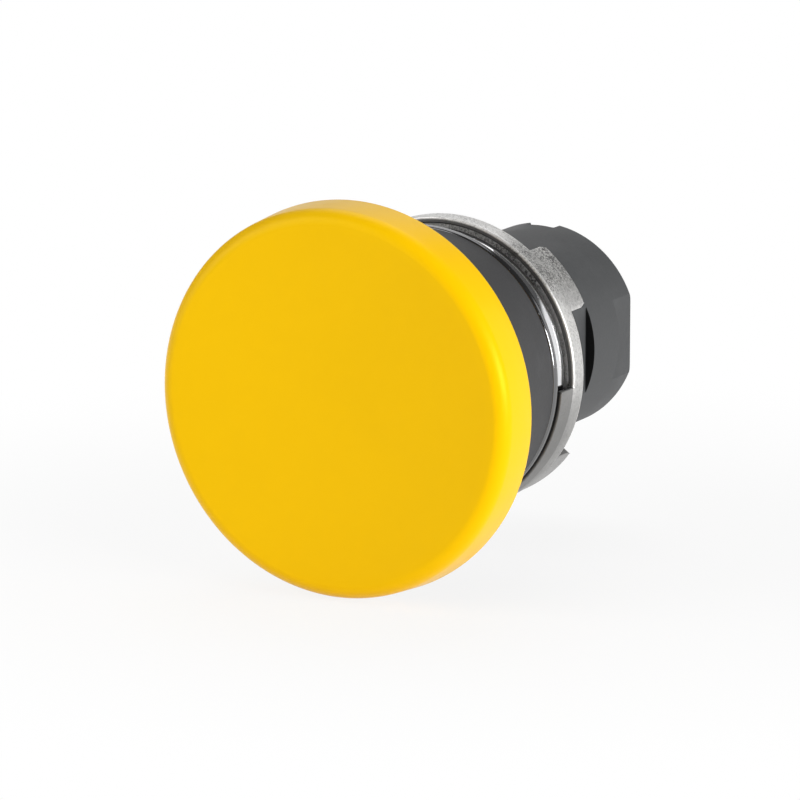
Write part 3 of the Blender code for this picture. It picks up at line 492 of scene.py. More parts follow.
def rubber_finish(name, colour):
    """Moulded rubber: dull, with a bloom and a fine texture."""
    finish = Finish(name)
    bloom = finish.noise(260.0, 4.0, 0.6).between(0.45, 0.70)
    fine = finish.noise(3000.0, 3.0, 0.6)
    base = finish.mix(0.7 * bloom, shade(colour, 1.0), shade(colour, 1.7))
    finish.shine(Base_Color=base, Roughness=0.72 + 0.12 * fine,
                 Normal=finish.bump(fine, 0.20, 0.04 * MM), Specular_IOR_Level=0.35)
    return finish.material


def natural_finish(name, colour):
    """Unfilled natural plastic: milky, smooth, with faint clouding."""
    finish = Finish(name)
    cloud = finish.noise(320.0, 3.0, 0.5)
    fine = finish.noise(2200.0, 2.0, 0.5)
    base = finish.mix(cloud.between(0.35, 0.65), shade(colour, 1.0), shade(colour, 0.90))
    finish.shine(Base_Color=base, Roughness=0.36 + 0.10 * fine,
                 Normal=finish.bump(fine, 0.08, 0.04 * MM))
    return finish.material


def metal_finish(name, colour, roughness, drawn):
    """Drawn or plated steel: fine lines along or round it and a little tarnish."""
    finish = Finish(name)
    lines = finish.noise(900.0, 3.0, 0.6, finish.stretched(drawn))
    tarnish = finish.noise(420.0, 4.0, 0.6).between(0.48, 0.72)
    base = finish.mix(0.6 * tarnish, shade(colour, 1.0), shade(colour, 0.70))
    finish.shine(Base_Color=base, Roughness=roughness + 0.12 * lines + 0.10 * tarnish,
                 Metallic=1.0, Normal=finish.bump(lines, 0.12, 0.03 * MM))
    return finish.material


def finish_named(slot):
    """The finish for a slot, made when it is first asked for; the frame's own ones are plain."""
    scene = bpy.context.scene
    name, maker, colour, *more = {
        "cap_yellow": ("cap_yellow_moulding", cap_finish, "yellow"),
        "dark_grey_plastic": ("collar_moulding", grained_plastic, "collar", 0.52, 5200.0),
        "body_grey_plastic": ("body_moulding", grained_plastic, "body", 0.50, 4200.0,
                              scene.button_body),
        "cast_zinc": ("cast_zinc_ring", cast_finish, "zinc"),
        "bright_plating": ("plated_ring", plating_finish, "plating"),
        "black_rubber": ("rubber_moulding", rubber_finish, "rubber"),
        "natural_plastic": ("natural_moulding", natural_finish, "natural"),
        "spring_steel": ("drawn_spring_steel", metal_finish, "steel", 0.24, (1.0, 6.0, 1.0)),
        "zinc_plated_steel": ("zinc_plated_hardware", metal_finish, "zinc_plate", 0.26,
                              (1.0, 1.0, 1.0)),
    }[slot]
    return (bpy.data.materials.get(name)
            or maker(name, getattr(scene.button_colours, colour), *more))


# Modelling by hand: what every piece uses

def clear_choice():
    """Leave edit mode and deselect everything."""
    if bpy.context.object is not None and bpy.context.object.mode != "OBJECT":
        bpy.ops.object.mode_set(mode="OBJECT")
    bpy.ops.object.select_all(action="DESELECT")


def take(*items):
    """Select these objects alone and make the first one active."""
    clear_choice()
    for item in items:
        item.select_set(True)
    bpy.context.view_layer.objects.active = items[0]


def apply_place():
    """Apply the active object's place, turn and scale to its mesh."""
    bpy.ops.object.transform_apply(location=True, rotation=True, scale=True)


def edit_all():
    """Enter edit mode with everything selected."""
    bpy.ops.object.mode_set(mode="EDIT")
    bpy.ops.mesh.select_all(action="SELECT")


def close_up():
    """Weld what lies in one place and turn the faces outward."""
    bpy.ops.mesh.select_all(action="SELECT")
    bpy.ops.mesh.remove_doubles(threshold=WELD)
    bpy.ops.mesh.normals_make_consistent(inside=False)


def radius_of(point):
    """Distance of a point from the axis."""
    return hypot(point.x, point.z)


def turn_of(point):
    """Angle of a point round the axis in degrees, 0 at +X and 90 at +Z."""
    return degrees(atan2(point.z, point.x)) % 360.0


def choose(item, kind, wanted):
    """In edit mode, select only what the test accepts; it gets the vertices' places."""
    bpy.ops.mesh.select_mode(type=kind)
    bpy.ops.mesh.select_all(action="DESELECT")
    mesh = bmesh.from_edit_mesh(item.data)
    rows = {"VERT": mesh.verts, "EDGE": mesh.edges, "FACE": mesh.faces}[kind]
    found = 0
    for row in rows:
        points = [row.co] if kind == "VERT" else [vert.co for vert in row.verts]
        if wanted(points):
            row.select_set(True)
            found += 1
    mesh.select_flush_mode()
    bmesh.update_edit_mesh(item.data)
    return found


def at_ring(radius, station):
    """A test for what lies on one ring of a turned piece."""
    def test(points):
        return all(abs(radius_of(p) - radius) < NEAR and abs(p.y - station) < NEAR
                   for p in points)
    return test


def pull(rings):
    """Extrude and scale the selected ring through a list of (radius, station)."""
    radius, station = rings[0]
    for next_radius, next_station in rings[1:]:
        bpy.ops.mesh.extrude_region_move(
            TRANSFORM_OT_translate={"value": (0.0, next_station - station, 0.0)})
        if next_radius != radius:
            share = next_radius / radius
            bpy.ops.transform.resize(value=(share, 1.0, share),
                                     center_override=(0.0, next_station, 0.0))
        radius, station = next_radius, next_station


def turned(name, profile, facets):
    """A turned piece: a circle pulled round its closed profile of (radius, station)."""
    clear_choice()
    rings = [point for point in profile if point[0] > 0.0]
    bpy.ops.mesh.primitive_circle_add(
        vertices=facets, radius=rings[0][0], location=(0.0, rings[0][1], 0.0),
        rotation=(radians(90.0), 0.0, 0.0))
    item = bpy.context.object
    item.name = name
    apply_place()
    edit_all()
    if profile[0][0] > 0.0:
        pull(profile + [profile[0]])
    else:
        pull(profile[1:])
        choose(item, "EDGE", at_ring(*profile[1]))
        pull([profile[1], profile[0]])
    close_up()
    return item


def round_rings(item, *rings):
    """Bevel rings of a turned piece, each given as (radius, station, size, steps)."""
    for radius, station, size, steps in rings:
        if choose(item, "EDGE", at_ring(radius, station)) == 0:
            raise RuntimeError(f"{item.name} has no ring at {radius:.5f}, {station:.5f}")
        bpy.ops.mesh.bevel(offset=size, segments=steps, affect="EDGES", clamp_overlap=True)


def split(point, normal):
    """Bisect the whole mesh and keep both sides."""
    bpy.ops.mesh.select_all(action="SELECT")
    bpy.ops.mesh.bisect(plane_co=point, plane_no=normal, threshold=WELD / 2.0)


def split_at_turn(angle):
    """Bisect the whole mesh by the plane through the axis at an angle in degrees."""
    split((0.0, 0.0, 0.0), (-sin(radians(angle)), 0.0, cos(radians(angle))))


def block(name, low, high, edge, steps=2, along=None):
    """A box for carving or adding, with all its edges rounded or those along one axis."""
    clear_choice()
    low, high = Vector(low), Vector(high)
    bpy.ops.mesh.primitive_cube_add(size=1.0, location=(low + high) / 2.0, scale=high - low)
    item = bpy.context.object
    item.name = name
    apply_place()
    edit_all()
    if along is not None:
        choose(item, "EDGE", lambda ends: abs((ends[0] - ends[1])[along]) > edge)
    bpy.ops.mesh.bevel(offset=edge, segments=steps, affect="EDGES")
    return item


def turn_piece(item, angle):
    """Turn an object about the axis, from +X towards +Z, and apply it."""
    take(item)
    bpy.ops.transform.rotate(value=radians(angle), orient_axis="Y",
                             center_override=(0.0, 0.0, 0.0))
    apply_place()


def copies_round(item, angles):
    """Copy a piece to each angle round the axis and join the copies to one."""
    made = []
    for angle in angles:
        take(item)
        bpy.ops.object.duplicate(linked=False)
        copy = bpy.context.object
        turn_piece(copy, angle)
        made.append(copy)
    bpy.data.objects.remove(item, do_unlink=True)
    take(*made)
    bpy.ops.object.join()
    return bpy.context.object


def combine(item, tool, operation):
    """Carve or add a tool by a Boolean and throw the tool away."""
    take(item)
    modifier = item.modifiers.new("combine", "BOOLEAN")
    modifier.operation = operation
    modifier.solver = "EXACT"
    modifier.object = tool
    bpy.ops.object.modifier_apply(modifier=modifier.name)
    bpy.data.objects.remove(tool, do_unlink=True)


def soften(item, size):
    """Round every edge that is sharper than 35 degrees."""
    take(item)
    modifier = item.modifiers.new("soften", "BEVEL")
    modifier.width = size
    modifier.segments = 2
    modifier.limit_method = "ANGLE"
    modifier.angle_limit = radians(35.0)
    modifier.use_clamp_overlap = False
    modifier.miter_outer = "MITER_ARC"
    bpy.ops.object.modifier_apply(modifier=modifier.name)


def split_ring(name, inner, outer, front, rear, opening, middle, steps):
    """A snap ring: its square section spun about the axis, with an opening."""
    clear_choice()
    start = middle + opening / 2.0
    bpy.ops.mesh.primitive_plane_add(size=1.0,
                                     location=((inner + outer) / 2.0, (front + rear) / 2.0, 0.0))
    item = bpy.context.object
    item.name = name
    item.scale = (outer - inner, rear - front, 1.0)
    apply_place()
    turn_piece(item, start)
    edit_all()
    bpy.ops.mesh.delete(type="ONLY_FACE")
    bpy.ops.mesh.select_all(action="SELECT")
    bpy.ops.mesh.spin(steps=steps, angle=radians(360.0 - opening), center=(0.0, 0.0, 0.0),
                      axis=(0.0, -1.0, 0.0))
    bpy.ops.mesh.select_mode(type="EDGE")
    bpy.ops.mesh.select_all(action="DESELECT")
    bpy.ops.mesh.select_non_manifold()
    bpy.ops.mesh.edge_face_add()
    close_up()
    return item


def settle(item, node, slot, angle=30.0):
    """Hand a piece over: smooth shading, its finish, its body and the node it stands for."""
    take(item)
    bpy.ops.object.shade_smooth_by_angle(angle=radians(angle))
    item.data.materials.clear()
    item.data.materials.append(finish_named(slot))
    item.name = node + "_shown"
    item.data.name = item.name
    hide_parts(node)
    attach(item, BODY_OF[node])


# Operators, one for each piece or group of like pieces

class BUTTON_OT_cap(bpy.types.Operator):
    """Model the yellow cap: dished face, round edge, hollow back, socket boss and ribs"""
    bl_idname = "pushbutton.cap"
    bl_label = "Mushroom Cap"

    def execute(self, context):
        sizes = context.scene.button_cap
        face = CAP_LOW.y
        rim = face + sizes.height
        roof = rim - sizes.hollow
        hollow = sizes.radius - sizes.wall
        front = sizes.radius - sizes.draft
        flat = front - sizes.edge
        boss, bore, boss_rear = 8.3 * MM, 6.3 * MM, CAP_HIGH.y
        groove = CLIP_HIGH.z + FIT
        rings = 20
        dish = [(flat * i / rings, face + sizes.dish * (1.0 - (i / rings) ** 2))
                for i in range(rings)]
        profile = dish + [
            (flat * 0.995, face), (front, face), (sizes.radius, rim),
            (hollow, rim), (hollow, roof), (boss, roof), (boss, boss_rear),
            (bore, boss_rear), (bore, CLIP_HIGH.y + FIT), (groove, CLIP_HIGH.y + FIT),
            (groove, CLIP_LOW.y - FIT), (bore, CLIP_LOW.y - FIT), (bore, roof), (0.0, roof)]
        cap = turned("mushroom_cap_form", profile, sizes.facets)
        round_rings(cap, (front, face, sizes.edge, 20), (sizes.radius, rim, 0.3 * MM, 4),
                    (hollow, rim, 0.25 * MM, 3), (hollow, roof, 0.7 * MM, 5),
                    (boss, roof, 0.4 * MM, 3), (boss, boss_rear, 0.2 * MM, 2),
                    (bore, boss_rear, 0.2 * MM, 2))
        half, reach = 0.6 * MM, 0.5 * MM
        inner_rib = (boss - reach, 12.05 * MM, 3.0 * MM)
        outer_rib = (15.0 * MM, hollow + reach, 1.2 * MM)
        for near, far, height in (inner_rib, outer_rib):
            rib = block("rib_form", (near, roof - reach, -half), (far, roof + height, half),
                        0.18 * MM)
            combine(cap, copies_round(rib, [45.0 * i for i in range(8)]), "UNION")
        settle(cap, "mushroom_cap", "cap_yellow")
        return {"FINISHED"}


class BUTTON_OT_collar(bpy.types.Operator):
    """Model the dark sleeve behind the cap, with its moat and its seal web"""
    bl_idname = "pushbutton.collar"
    bl_label = "Guide Collar"

    def execute(self, context):
        sizes = context.scene.button_collar
        outside = COLLAR_HIGH.x
        front, rear = COLLAR_LOW.y, COLLAR_HIGH.y
        shoulder = BEZEL_LOW.y - 0.03 * MM
        foot = BEZEL_HIGH.x - 0.15 * MM
        inside = outside - sizes.wall
        spigot, spigot_bore, web_bore = 12.9 * MM, 12.0 * MM, 8.8 * MM
        web_front = front + sizes.moat
        web_rear = web_front + 1.2 * MM
        profile = [
            (inside, front), (outside, front), (foot, shoulder), (spigot, shoulder),
            (spigot, rear), (spigot_bore, rear), (spigot_bore, web_rear), (web_bore, web_rear),
            (web_bore, web_front), (inside, web_front)]
        collar = turned("guide_collar_form", profile, sizes.facets)
        round_rings(collar, (outside, front, sizes.edge, 6), (inside, front, 0.25 * MM, 3),
                    (foot, shoulder, 0.05 * MM, 2), (inside, web_front, 0.5 * MM, 4),
                    (web_bore, web_front, 0.2 * MM, 2))
        settle(collar, "guide_collar", "dark_grey_plastic")
        return {"FINISHED"}


class BUTTON_OT_bezel(bpy.types.Operator):
    """Model the plated ring: a rounded lip, a groove and a swelling polished band"""
    bl_idname = "pushbutton.bezel"
    bl_label = "Bezel Ring"

    def execute(self, context):
        sizes = context.scene.button_bezel
        front, rear = BEZEL_LOW.y, BEZEL_HIGH.y
        outside = BEZEL_HIGH.x
        lip_rear = front + sizes.lip
        lip_bore, bore, band = 13.2 * MM, 13.4 * MM, 13.95 * MM
        band_front = lip_rear + 0.55 * MM
        crest = rear - 0.7 * MM
        steps = 10
        swell = [(band, band_front), (band + 0.5 * sizes.bulge, (band_front + crest) / 2.0)]
        for i in range(steps + 1):
            share = i / steps
            swell.append((band + sizes.bulge * (1.0 - share ** 2),
                          crest + (rear - crest) * share))
        lip = [(lip_bore, front), (outside, front), (outside, lip_rear), (band, lip_rear)]
        inside = [(bore, rear), (bore, lip_rear), (lip_bore, lip_rear)]
        ring = turned("bezel_ring_form", lip + swell + inside, sizes.facets)
        round_rings(ring, (outside, front, sizes.rounding, 5),
                    (outside, lip_rear, sizes.rounding, 5), (band, lip_rear, 0.15 * MM, 3))
        settle(ring, "bezel_ring", "bright_plating")
        return {"FINISHED"}


class BUTTON_OT_carrier(bpy.types.Operator):
    """Model the cast ring: a band with two long lands in front and four feet behind"""
    bl_idname = "pushbutton.carrier"
    bl_label = "Carrier Ring"

    def execute(self, context):
        sizes = context.scene.button_carrier
        outside = CARRIER_HIGH.x
        band_front = CARRIER_LOW.y + sizes.land_length
        band_rear = CARRIER_HIGH.y - sizes.foot_length
        web_front = band_rear - 1.8 * MM
        bore, land_bore = 11.2 * MM, 14.6 * MM
        land_in, land_out = 14.65 * MM, outside - 0.05 * MM
        foot_in, foot_out = 13.7 * MM, outside - 0.1 * MM
        slope = 0.12 * MM
        profile = [
            (bore, web_front), (land_bore, web_front), (land_bore, band_front),
            (land_in, band_front), (land_out, band_front), (outside, band_front + slope),
            (outside, band_rear - slope), (foot_out, band_rear), (foot_in, band_rear),
            (bore, band_rear)]
        ring = turned("carrier_ring_form", profile, sizes.facets)
        land_start, land_sweep = degrees(sizes.land_start), degrees(sizes.land_sweep)
        foot_start, foot_sweep = degrees(sizes.foot_start), degrees(sizes.foot_sweep)
        corner = sizes.foot_corner
        columns = []
        for k in range(5):
            inward = corner * k / 4.0
            drop = corner - (corner ** 2 - (corner - inward) ** 2) ** 0.5
            columns.append((degrees(inward / foot_out), drop))
        for angle in (land_start, land_start + land_sweep):
            split_at_turn(angle)
        for angle in (foot_start, foot_start + 90.0):
            for inward, drop in columns:
                split_at_turn(angle + inward)
                split_at_turn(angle + foot_sweep - inward)

        def stretch(inner, outer, station, start, sweep, spacing, reach):
            """Extrude what lies in some sweeps of a flat ring along the axis."""
            def wanted(points):
                middle = sum(points, Vector()) / len(points)
                on_strip = all(abs(p.y - station) < NEAR
                               and inner - NEAR < radius_of(p) < outer + NEAR for p in points)
                return on_strip and (turn_of(middle) - start) % spacing < sweep
            choose(ring, "FACE", wanted)
            bpy.ops.mesh.extrude_region_move(
                TRANSFORM_OT_translate={"value": (0.0, reach, 0.0)})

        stretch(land_in, land_out, band_front, land_start, land_sweep, 180.0,
                -sizes.land_length)
        stretch(foot_in, foot_out, band_rear, foot_start, foot_sweep, 90.0, sizes.foot_length)
        for inward, drop in columns:
            places = (foot_start + inward, foot_start + foot_sweep - inward)
            choose(ring, "VERT", lambda points: abs(points[0].y - CARRIER_HIGH.y) < NEAR and any(
                abs((turn_of(points[0]) - place + 45.0) % 90.0 - 45.0) < NEAR_TURN
                for place in places))
            bpy.ops.transform.translate(value=(0.0, -drop, 0.0))
        soften(ring, sizes.edge)
        settle(ring, "carrier_ring", "cast_zinc", 38.0)
        return {"FINISHED"}


class BUTTON_OT_body(bpy.types.Operator):
    """Model the rear body: nose, flange, tube, neck flats, end flats, notch and key rib"""
    bl_idname = "pushbutton.body"
    bl_label = "Rear Body"

    def execute(self, context):
        sizes = context.scene.button_body
        front, rear = BODY_LOW.y, BODY_HIGH.y
        tube = sizes.radius
        groove, nose, flange = 10.2 * MM, 11.7 * MM, 13.1 * MM
        rear_bore, front_bore, stem_bore = 8.6 * MM, 8.9 * MM, 4.9 * MM
        flange_rear = BEZEL_HIGH.y
        flange_front = flange_rear - 1.5 * MM
        groove_front, groove_rear = LOCK_LOW.y - FIT, LOCK_HIGH.y + FIT
        bush_end = BUSH_HIGH.y + FIT
        neck_start, neck_end = groove_rear + FIT, sizes.neck_end
        end_start = rear - sizes.end_length
        pit_front, pit_rear = 2.5 * MM, 4.5 * MM
        step = 0.04 * MM
        profile = [
            (groove, front), (nose, front), (nose, flange_front), (flange, flange_front),
            (flange, flange_rear), (tube, flange_rear), (tube, groove_front),
            (groove, groove_front), (groove, groove_rear), (tube, groove_rear),
            (tube, neck_start), (tube, neck_start + step), (tube, neck_end - step),
            (tube, neck_end), (tube, end_start), (tube, end_start + step), (tube, rear),
            (rear_bore, rear), (rear_bore, pit_rear), (stem_bore, pit_rear),
            (stem_bore, pit_front), (front_bore, pit_front), (front_bore, bush_end),
            (groove, bush_end)]
        body = turned("rear_body_form", profile, sizes.facets)
        round_rings(body, (tube, rear, 0.3 * MM, 4))
        for side in (1.0, -1.0):
            for flat in (sizes.neck_flat, sizes.end_flat):
                split((side * flat, 0.0, 0.0), (1.0, 0.0, 0.0))

        def press(side, flat, low, high):
            """Flatten what stands past a flat, between two stations."""
            choose(body, "VERT", lambda points: points[0].x * side > flat
                   and low - WELD < points[0].y < high + WELD)
            bpy.ops.transform.resize(value=(0.0, 1.0, 1.0),
                                     center_override=(side * flat, 0.0, 0.0))

        for side in (1.0, -1.0):
            press(side, sizes.neck_flat, neck_start + step, neck_end - step)
            press(side, sizes.end_flat, end_start + step, rear)
        close_up()
        half, notch_low, notch_high = sizes.notch_width / 2.0, 7.5 * MM, 12.5 * MM
        notch = block("notch_form", (-half, rear - sizes.notch_depth, notch_low),
                      (half, rear + 2.0 * MM, notch_high), 0.3 * MM, 3, along=2)
        combine(body, notch, "DIFFERENCE")
        half, rib_front, rib_rear, rib_low = 1.5 * MM, 0.3 * MM, 2.5 * MM, 10.4 * MM
        rib = block("rib_form", (-half, rib_front, rib_low), (half, rib_rear, BODY_HIGH.z),
                    0.2 * MM)
        combine(body, rib, "UNION")
        settle(body, "rear_body", "body_grey_plastic", 15.0)
        return {"FINISHED"}


class BUTTON_OT_gaskets(bpy.types.Operator):
    """Model the rubber pieces that show: the panel gasket and the bumper washer"""
    bl_idname = "pushbutton.gaskets"
    bl_label = "Gaskets"

    def execute(self, context):
        facets = context.scene.button_inner.facets
        outside, recess, bore = GASKET_HIGH.x, 12.6 * MM, 11.3 * MM
        front, step, rear = GASKET_LOW.y, LOCK_HIGH.y + FIT, GASKET_HIGH.y
        gasket = turned("panel_gasket_form", [
            (recess, front), (outside, front), (outside, rear), (bore, rear), (bore, step),
            (recess, step)], facets * 2)
        round_rings(gasket, (outside, rear, 0.3 * MM, 4), (bore, rear, 0.2 * MM, 3))
        settle(gasket, "panel_gasket", "black_rubber")
        outside, bore = BUMPER_HIGH.x, 4.9 * MM
        front, rear = BUMPER_LOW.y, BUMPER_HIGH.y
        bumper = turned("bumper_washer_form", [
            (bore, front), (outside, front), (outside, rear), (bore, rear)], facets)
        round_rings(bumper, (outside, rear, 0.2 * MM, 3), (bore, rear, 0.2 * MM, 3))
        settle(bumper, "bumper_washer", "black_rubber")
        return {"FINISHED"}


class BUTTON_OT_snap_rings(bpy.types.Operator):
    """Model the three spring-steel snap rings"""
    bl_idname = "pushbutton.snap_rings"
    bl_label = "Snap Rings"

    def execute(self, context):
        facets = context.scene.button_inner.facets
        rings = (
            ("cap_clip", CLIP_LOW, CLIP_HIGH, 5.3 * MM, 44.0, 180.0),
            ("stop_ring", STOP_LOW, STOP_HIGH, 4.1 * MM, 50.0, 90.0),
            ("lock_ring", LOCK_LOW, LOCK_HIGH, 10.5 * MM, 32.0, -90.0))
        for node, low, high, inner, opening, middle in rings:
            outer = max(-low.x, high.x, -low.z, high.z)
            ring = split_ring(node + "_form", inner, outer, low.y, high.y, opening, middle,
                              facets)
            soften(ring, 0.1 * MM)
            settle(ring, node, "spring_steel")
        return {"FINISHED"}


class BUTTON_OT_plunger(bpy.types.Operator):
    """Model the sliding pieces that show from behind and from the side"""
    bl_idname = "pushbutton.plunger"
    bl_label = "Plunger, Stem and Plate"

    def execute(self, context):
        sizes = context.scene.button_inner
        self.plunger_head(sizes)
        self.stem(sizes)
        self.actuator_plate(sizes)
        return {"FINISHED"}

    def plunger_head(self, sizes):
        """The piston, with its spigot, its spring cavity and its stem socket."""
        front, rear = PLUNGER_LOW.y, PLUNGER_HIGH.y
        outside = PLUNGER_HIGH.x
        hole, socket, cavity = 1.8 * MM, 4.9 * MM, 6.9 * MM
        groove, well, spigot = 5.0 * MM, 3.4 * MM, 6.0 * MM
        well_floor = front + 2.4 * MM
        shoulder = CAP_HIGH.y + FIT
        roof = shoulder + 1.5 * MM
        socket_floor = STEM_LOW.y - FIT
        profile = [
            (hole, well_floor), (well, well_floor), (well, front), (spigot, front),
            (spigot, CLIP_LOW.y - FIT), (groove, CLIP_LOW.y - FIT),
            (groove, CLIP_HIGH.y + FIT), (spigot, CLIP_HIGH.y + FIT),
            (spigot, shoulder), (outside, shoulder), (outside, rear), (cavity, rear),
            (cavity, roof), (socket, roof), (socket, socket_floor), (hole, socket_floor)]
        head = turned("plunger_head_form", profile, sizes.facets)
        round_rings(head, (spigot, front, 0.4 * MM, 3), (outside, shoulder, 0.4 * MM, 4),
                    (outside, rear, 0.2 * MM, 2))
        settle(head, "plunger_head", "dark_grey_plastic")

    def stem(self, sizes):
        """The push rod, with its ring groove, its barbed tail and two keyways."""
        front, rear = STEM_LOW.y, STEM_HIGH.y
        outside = STEM_HIGH.x
        tail, barb, tip = 3.0 * MM, 3.6 * MM, 2.7 * MM
        step = PLATE_LOW.y - FIT
        catch = PLATE_HIGH.y + FIT
        groove = 3.8 * MM
        hole, bottom = 1.8 * MM, front + 7.2 * MM
        profile = [
            (0.0, bottom), (hole, bottom - hole), (hole, front), (outside, front),
            (outside, STOP_LOW.y - FIT), (groove, STOP_LOW.y - FIT),
            (groove, STOP_HIGH.y + FIT), (outside, STOP_HIGH.y + FIT), (outside, step),
            (tail, step), (tail, catch), (barb, catch), (tip, rear), (0.0, rear)]
        rod = turned("stem_form", profile, sizes.facets)
        round_rings(rod, (outside, front, 0.25 * MM, 3), (outside, step, 0.2 * MM, 2),
                    (tip, rear, 0.15 * MM, 3))
        half, depth, key_front, key_rear = 1.1 * MM, 0.7 * MM, -2.3 * MM, 4.8 * MM
        keyway = block("keyway_form", (outside - depth, key_front, -half),
                       (outside + 1.0 * MM, key_rear, half), 0.1 * MM)
        combine(rod, copies_round(keyway, (0.0, 180.0)), "DIFFERENCE")
        settle(rod, "stem", "natural_plastic")

    def actuator_plate(self, sizes):
        """The plate on the stem's tail, dished, with slots in its edge."""
        front, rear = PLATE_LOW.y, PLATE_HIGH.y
        outside = PLATE_HIGH.x
        bore, hub = 3.3 * MM, 5.2 * MM
        sink = (rear - front) / 2.0
        profile = [
            (bore, front), (outside, front), (outside, rear), (outside - sink, rear),
            (outside - 2.0 * sink, rear - sink), (hub, rear - sink), (hub, rear), (bore, rear)]
        plate = turned("actuator_plate_form", profile, sizes.facets)
        half = sizes.slot_width / 2.0
        slot = block("slot_form", (outside - sizes.slot_depth, front - 1.0 * MM, -half),
                     (outside + 1.5 * MM, rear + 1.0 * MM, half), 0.4 * MM, 4, along=1)
        spacing = 360.0 / sizes.slots
        slots = copies_round(slot, [45.0 + spacing * i for i in range(sizes.slots)])
        combine(plate, slots, "DIFFERENCE")
        soften(plate, 0.1 * MM)
        settle(plate, "actuator_plate", "natural_plastic")


class BUTTON_OT_spring(bpy.types.Operator):
    """Model the return spring, with a close turn at each end"""
    bl_idname = "pushbutton.spring"
    bl_label = "Return Spring"

    def execute(self, context):
        sizes = context.scene.button_inner
        wire = sizes.wire / 2.0
        middle = 5.75 * MM
        front, rear = SPRING_LOW.y + wire, SPRING_HIGH.y - wire
        steps = 40
        open_rise = (rear - front - 2.0 * sizes.end_pitch) / (sizes.turns * steps)
        end_rise = sizes.end_pitch / steps
        clear_choice()
        bpy.ops.mesh.primitive_circle_add(vertices=14, radius=wire, fill_type="NGON",
                                          location=(middle, front, 0.0))
        spring = bpy.context.object
        spring.name = "return_spring_form"
        apply_place()
        bpy.ops.object.mode_set(mode="EDIT")
        bpy.ops.mesh.select_mode(type="FACE")
        bpy.ops.mesh.select_all(action="SELECT")
        total = int((sizes.turns + 2.0) * steps)
        for i in range(total):
            at_end = i < steps or i >= total - steps
            bpy.ops.mesh.extrude_region_move(
                TRANSFORM_OT_translate={"value": (0.0, end_rise if at_end else open_rise, 0.0)})
            bpy.ops.transform.rotate(value=2.0 * pi / steps, orient_axis="Y",
                                     center_override=(0.0, 0.0, 0.0))
        bpy.ops.mesh.select_all(action="SELECT")
        bpy.ops.mesh.normals_make_consistent(inside=False)
        settle(spring, "return_spring", "spring_steel", 40.0)
        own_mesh(spring)
        return {"FINISHED"}


class BUTTON_OT_hidden(bpy.types.Operator):
    """Give the pieces that stay as the frame has them their finishes"""
    bl_idname = "pushbutton.hidden"
    bl_label = "Hidden Pieces"

    def execute(self, context):
        finishes = {
            "stem_screw": "zinc_plated_steel", "spring_seat": "zinc_plated_steel",
            "spring_cup": "natural_plastic", "guide_bush": "natural_plastic",
            "plunger_seal": "black_rubber", "collar_gasket": "black_rubber",
            "seal_retainer": "dark_grey_plastic"}
        for node, slot in finishes.items():
            item = frame["nodes"][node]
            for holder in item.material_slots:
                holder.link = "OBJECT"
                holder.material = finish_named(slot)
        return {"FINISHED"}


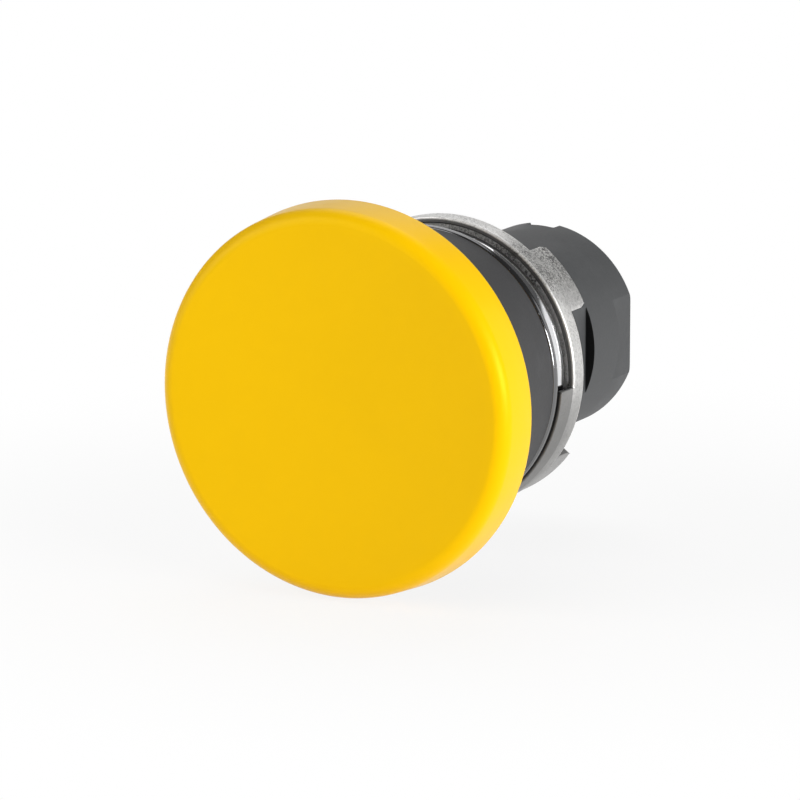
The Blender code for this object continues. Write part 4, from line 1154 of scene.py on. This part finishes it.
class BUTTON_OT_studio(bpy.types.Operator):
    """Set up the floor, the white room, the lamps and the camera"""
    bl_idname = "pushbutton.studio"
    bl_label = "Studio"

    def execute(self, context):
        settings = context.scene.button_studio
        self.room(context.scene, settings)
        self.floor(settings)
        self.lamps(settings)
        self.camera(context.scene, settings)
        context.scene.view_settings.view_transform = "Standard"
        return {"FINISHED"}

    def room(self, scene, settings):
        """A white backdrop; gloss sees soft white panels in a greyer room."""
        scene.world = bpy.data.worlds.new("white_room")
        room = Tree(scene.world)
        way = room.node("ShaderNodeTexCoord", output="Generated")
        behind_right = room.towards(way, (0.64, 0.76, 0.12)).between(0.92, 0.95)
        behind_left = room.towards(way, (-0.42, 0.86, 0.29)).between(0.92, 0.97)
        gloss = room.node("ShaderNodeLightPath", output="Is Glossy Ray")
        panels = room.node("ShaderNodeMath", {"operation": "MAXIMUM"},
                           {0: behind_right, 1: behind_left})
        mirrored = 1.0 - gloss * (0.90 - 0.90 * panels)
        level = settings.world + room.background_share() * (mirrored - settings.world)
        back = scene.world.node_tree.nodes["Background"]
        back.inputs["Color"].default_value = (1.0, 1.0, 1.0, 1.0)
        room.feed(back.inputs["Strength"], level)

    def floor(self, settings):
        """A plain pale floor just under the cap, which goes over into the white backdrop."""
        clear_choice()
        bpy.ops.mesh.primitive_plane_add(size=6.0, location=(0.0, 0.0, CAD_BOX[0][2] - 0.2 * MM))
        ground = bpy.context.object
        ground.name = "studio_floor"
        finish = Finish("studio_floor_paint")
        speck = finish.noise(900.0, 3.0, 0.5)
        finish.shine(Base_Color=finish.mix(0.3 * speck, shade(settings.floor, 1.0),
                                           shade(settings.floor, 0.985)),
                     Roughness=0.9, Specular_IOR_Level=0.1)
        away = finish.length(finish.place).between(0.03, 0.09)
        share = finish.background_share() * (0.86 + 0.14 * away)
        white = finish.node("ShaderNodeEmission", None, {"Strength": 1.0})
        blend = finish.node("ShaderNodeMixShader", None,
                            {0: share, 1: Wire(finish, finish.shader.outputs[0]), 2: white})
        finish.feed(finish.tree.nodes["Material Output"].inputs["Surface"], blend)
        ground.data.materials.append(finish.material)

    def lamps(self, settings):
        """Three soft boxes: a key on the right, a fill on the left and one above."""
        for name, power, place, width, height in (
                ("key_lamp", settings.key, (0.93, -0.23, 0.16), 0.6, 0.34),
                ("fill_lamp", settings.fill, (-0.60, -0.62, 0.30), 0.7, 0.6),
                ("top_lamp", settings.top, (-0.20, 0.35, 0.80), 0.7, 0.7)):
            clear_choice()
            aim = (Vector((0.0, -0.005, 0.0)) - Vector(place)).to_track_quat("-Z", "Y")
            bpy.ops.object.light_add(type="AREA", location=place, rotation=aim.to_euler())
            lamp = bpy.context.object
            lamp.name = name
            lamp.data.energy = power
            lamp.data.shape = "RECTANGLE"
            lamp.data.size = width
            lamp.data.size_y = height

    def camera(self, scene, settings):
        """The photograph's own viewpoint."""
        clear_choice()
        level = cos(settings.elevation)
        back = Vector((sin(settings.azimuth) * level, -cos(settings.azimuth) * level,
                       sin(settings.elevation)))
        bpy.ops.object.camera_add(location=Vector(settings.aim) + back * settings.distance,
                                  rotation=(radians(90.0) - settings.elevation, 0.0,
                                            settings.azimuth))
        camera = bpy.context.object
        camera.name = "product_camera"
        camera.data.lens = settings.lens
        camera.data.sensor_width = 36.0
        camera.data.clip_start = 0.01
        scene.camera = camera


STEPS = (BUTTON_OT_cap, BUTTON_OT_collar, BUTTON_OT_bezel, BUTTON_OT_carrier, BUTTON_OT_body,
         BUTTON_OT_gaskets, BUTTON_OT_snap_rings, BUTTON_OT_plunger, BUTTON_OT_spring,
         BUTTON_OT_hidden, BUTTON_OT_studio)
GROUPS = (("button_cap", CapShape), ("button_collar", CollarShape),
          ("button_bezel", BezelShape), ("button_carrier", CarrierShape),
          ("button_body", BodyShape), ("button_inner", InnerShape),
          ("button_colours", FinishColours), ("button_studio", StudioSettings))


class BUTTON_PT_sidebar(bpy.types.Panel):
    """The button's pieces and settings in the sidebar"""
    bl_label = "Pushbutton Head"
    bl_idname = "BUTTON_PT_sidebar"
    bl_space_type = "VIEW_3D"
    bl_region_type = "UI"
    bl_category = "Pushbutton"

    def draw(self, context):
        for step in STEPS:
            self.layout.operator(step.bl_idname)
        for name, group in GROUPS:
            column = self.layout.box().column()
            for key in group.__annotations__:
                column.prop(getattr(context.scene, name), key)


def register():
    """Add the settings, the operators and the panel."""
    for name, group in GROUPS:
        bpy.utils.register_class(group)
        setattr(bpy.types.Scene, name, PointerProperty(type=group))
    for step in STEPS:
        bpy.utils.register_class(step)
    bpy.utils.register_class(BUTTON_PT_sidebar)


def unregister():
    """Take them out again."""
    bpy.utils.unregister_class(BUTTON_PT_sidebar)
    for step in reversed(STEPS):
        bpy.utils.unregister_class(step)
    for name, group in reversed(GROUPS):
        delattr(bpy.types.Scene, name)
        bpy.utils.unregister_class(group)


def main():
    """Run every step in order."""
    register()
    bpy.ops.pushbutton.cap()
    bpy.ops.pushbutton.collar()
    bpy.ops.pushbutton.bezel()
    bpy.ops.pushbutton.carrier()
    bpy.ops.pushbutton.body()
    bpy.ops.pushbutton.gaskets()
    bpy.ops.pushbutton.snap_rings()
    bpy.ops.pushbutton.plunger()
    bpy.ops.pushbutton.spring()
    bpy.ops.pushbutton.hidden()
    bpy.ops.pushbutton.studio()
    clear_choice()


if __name__ == "__main__":
    main()
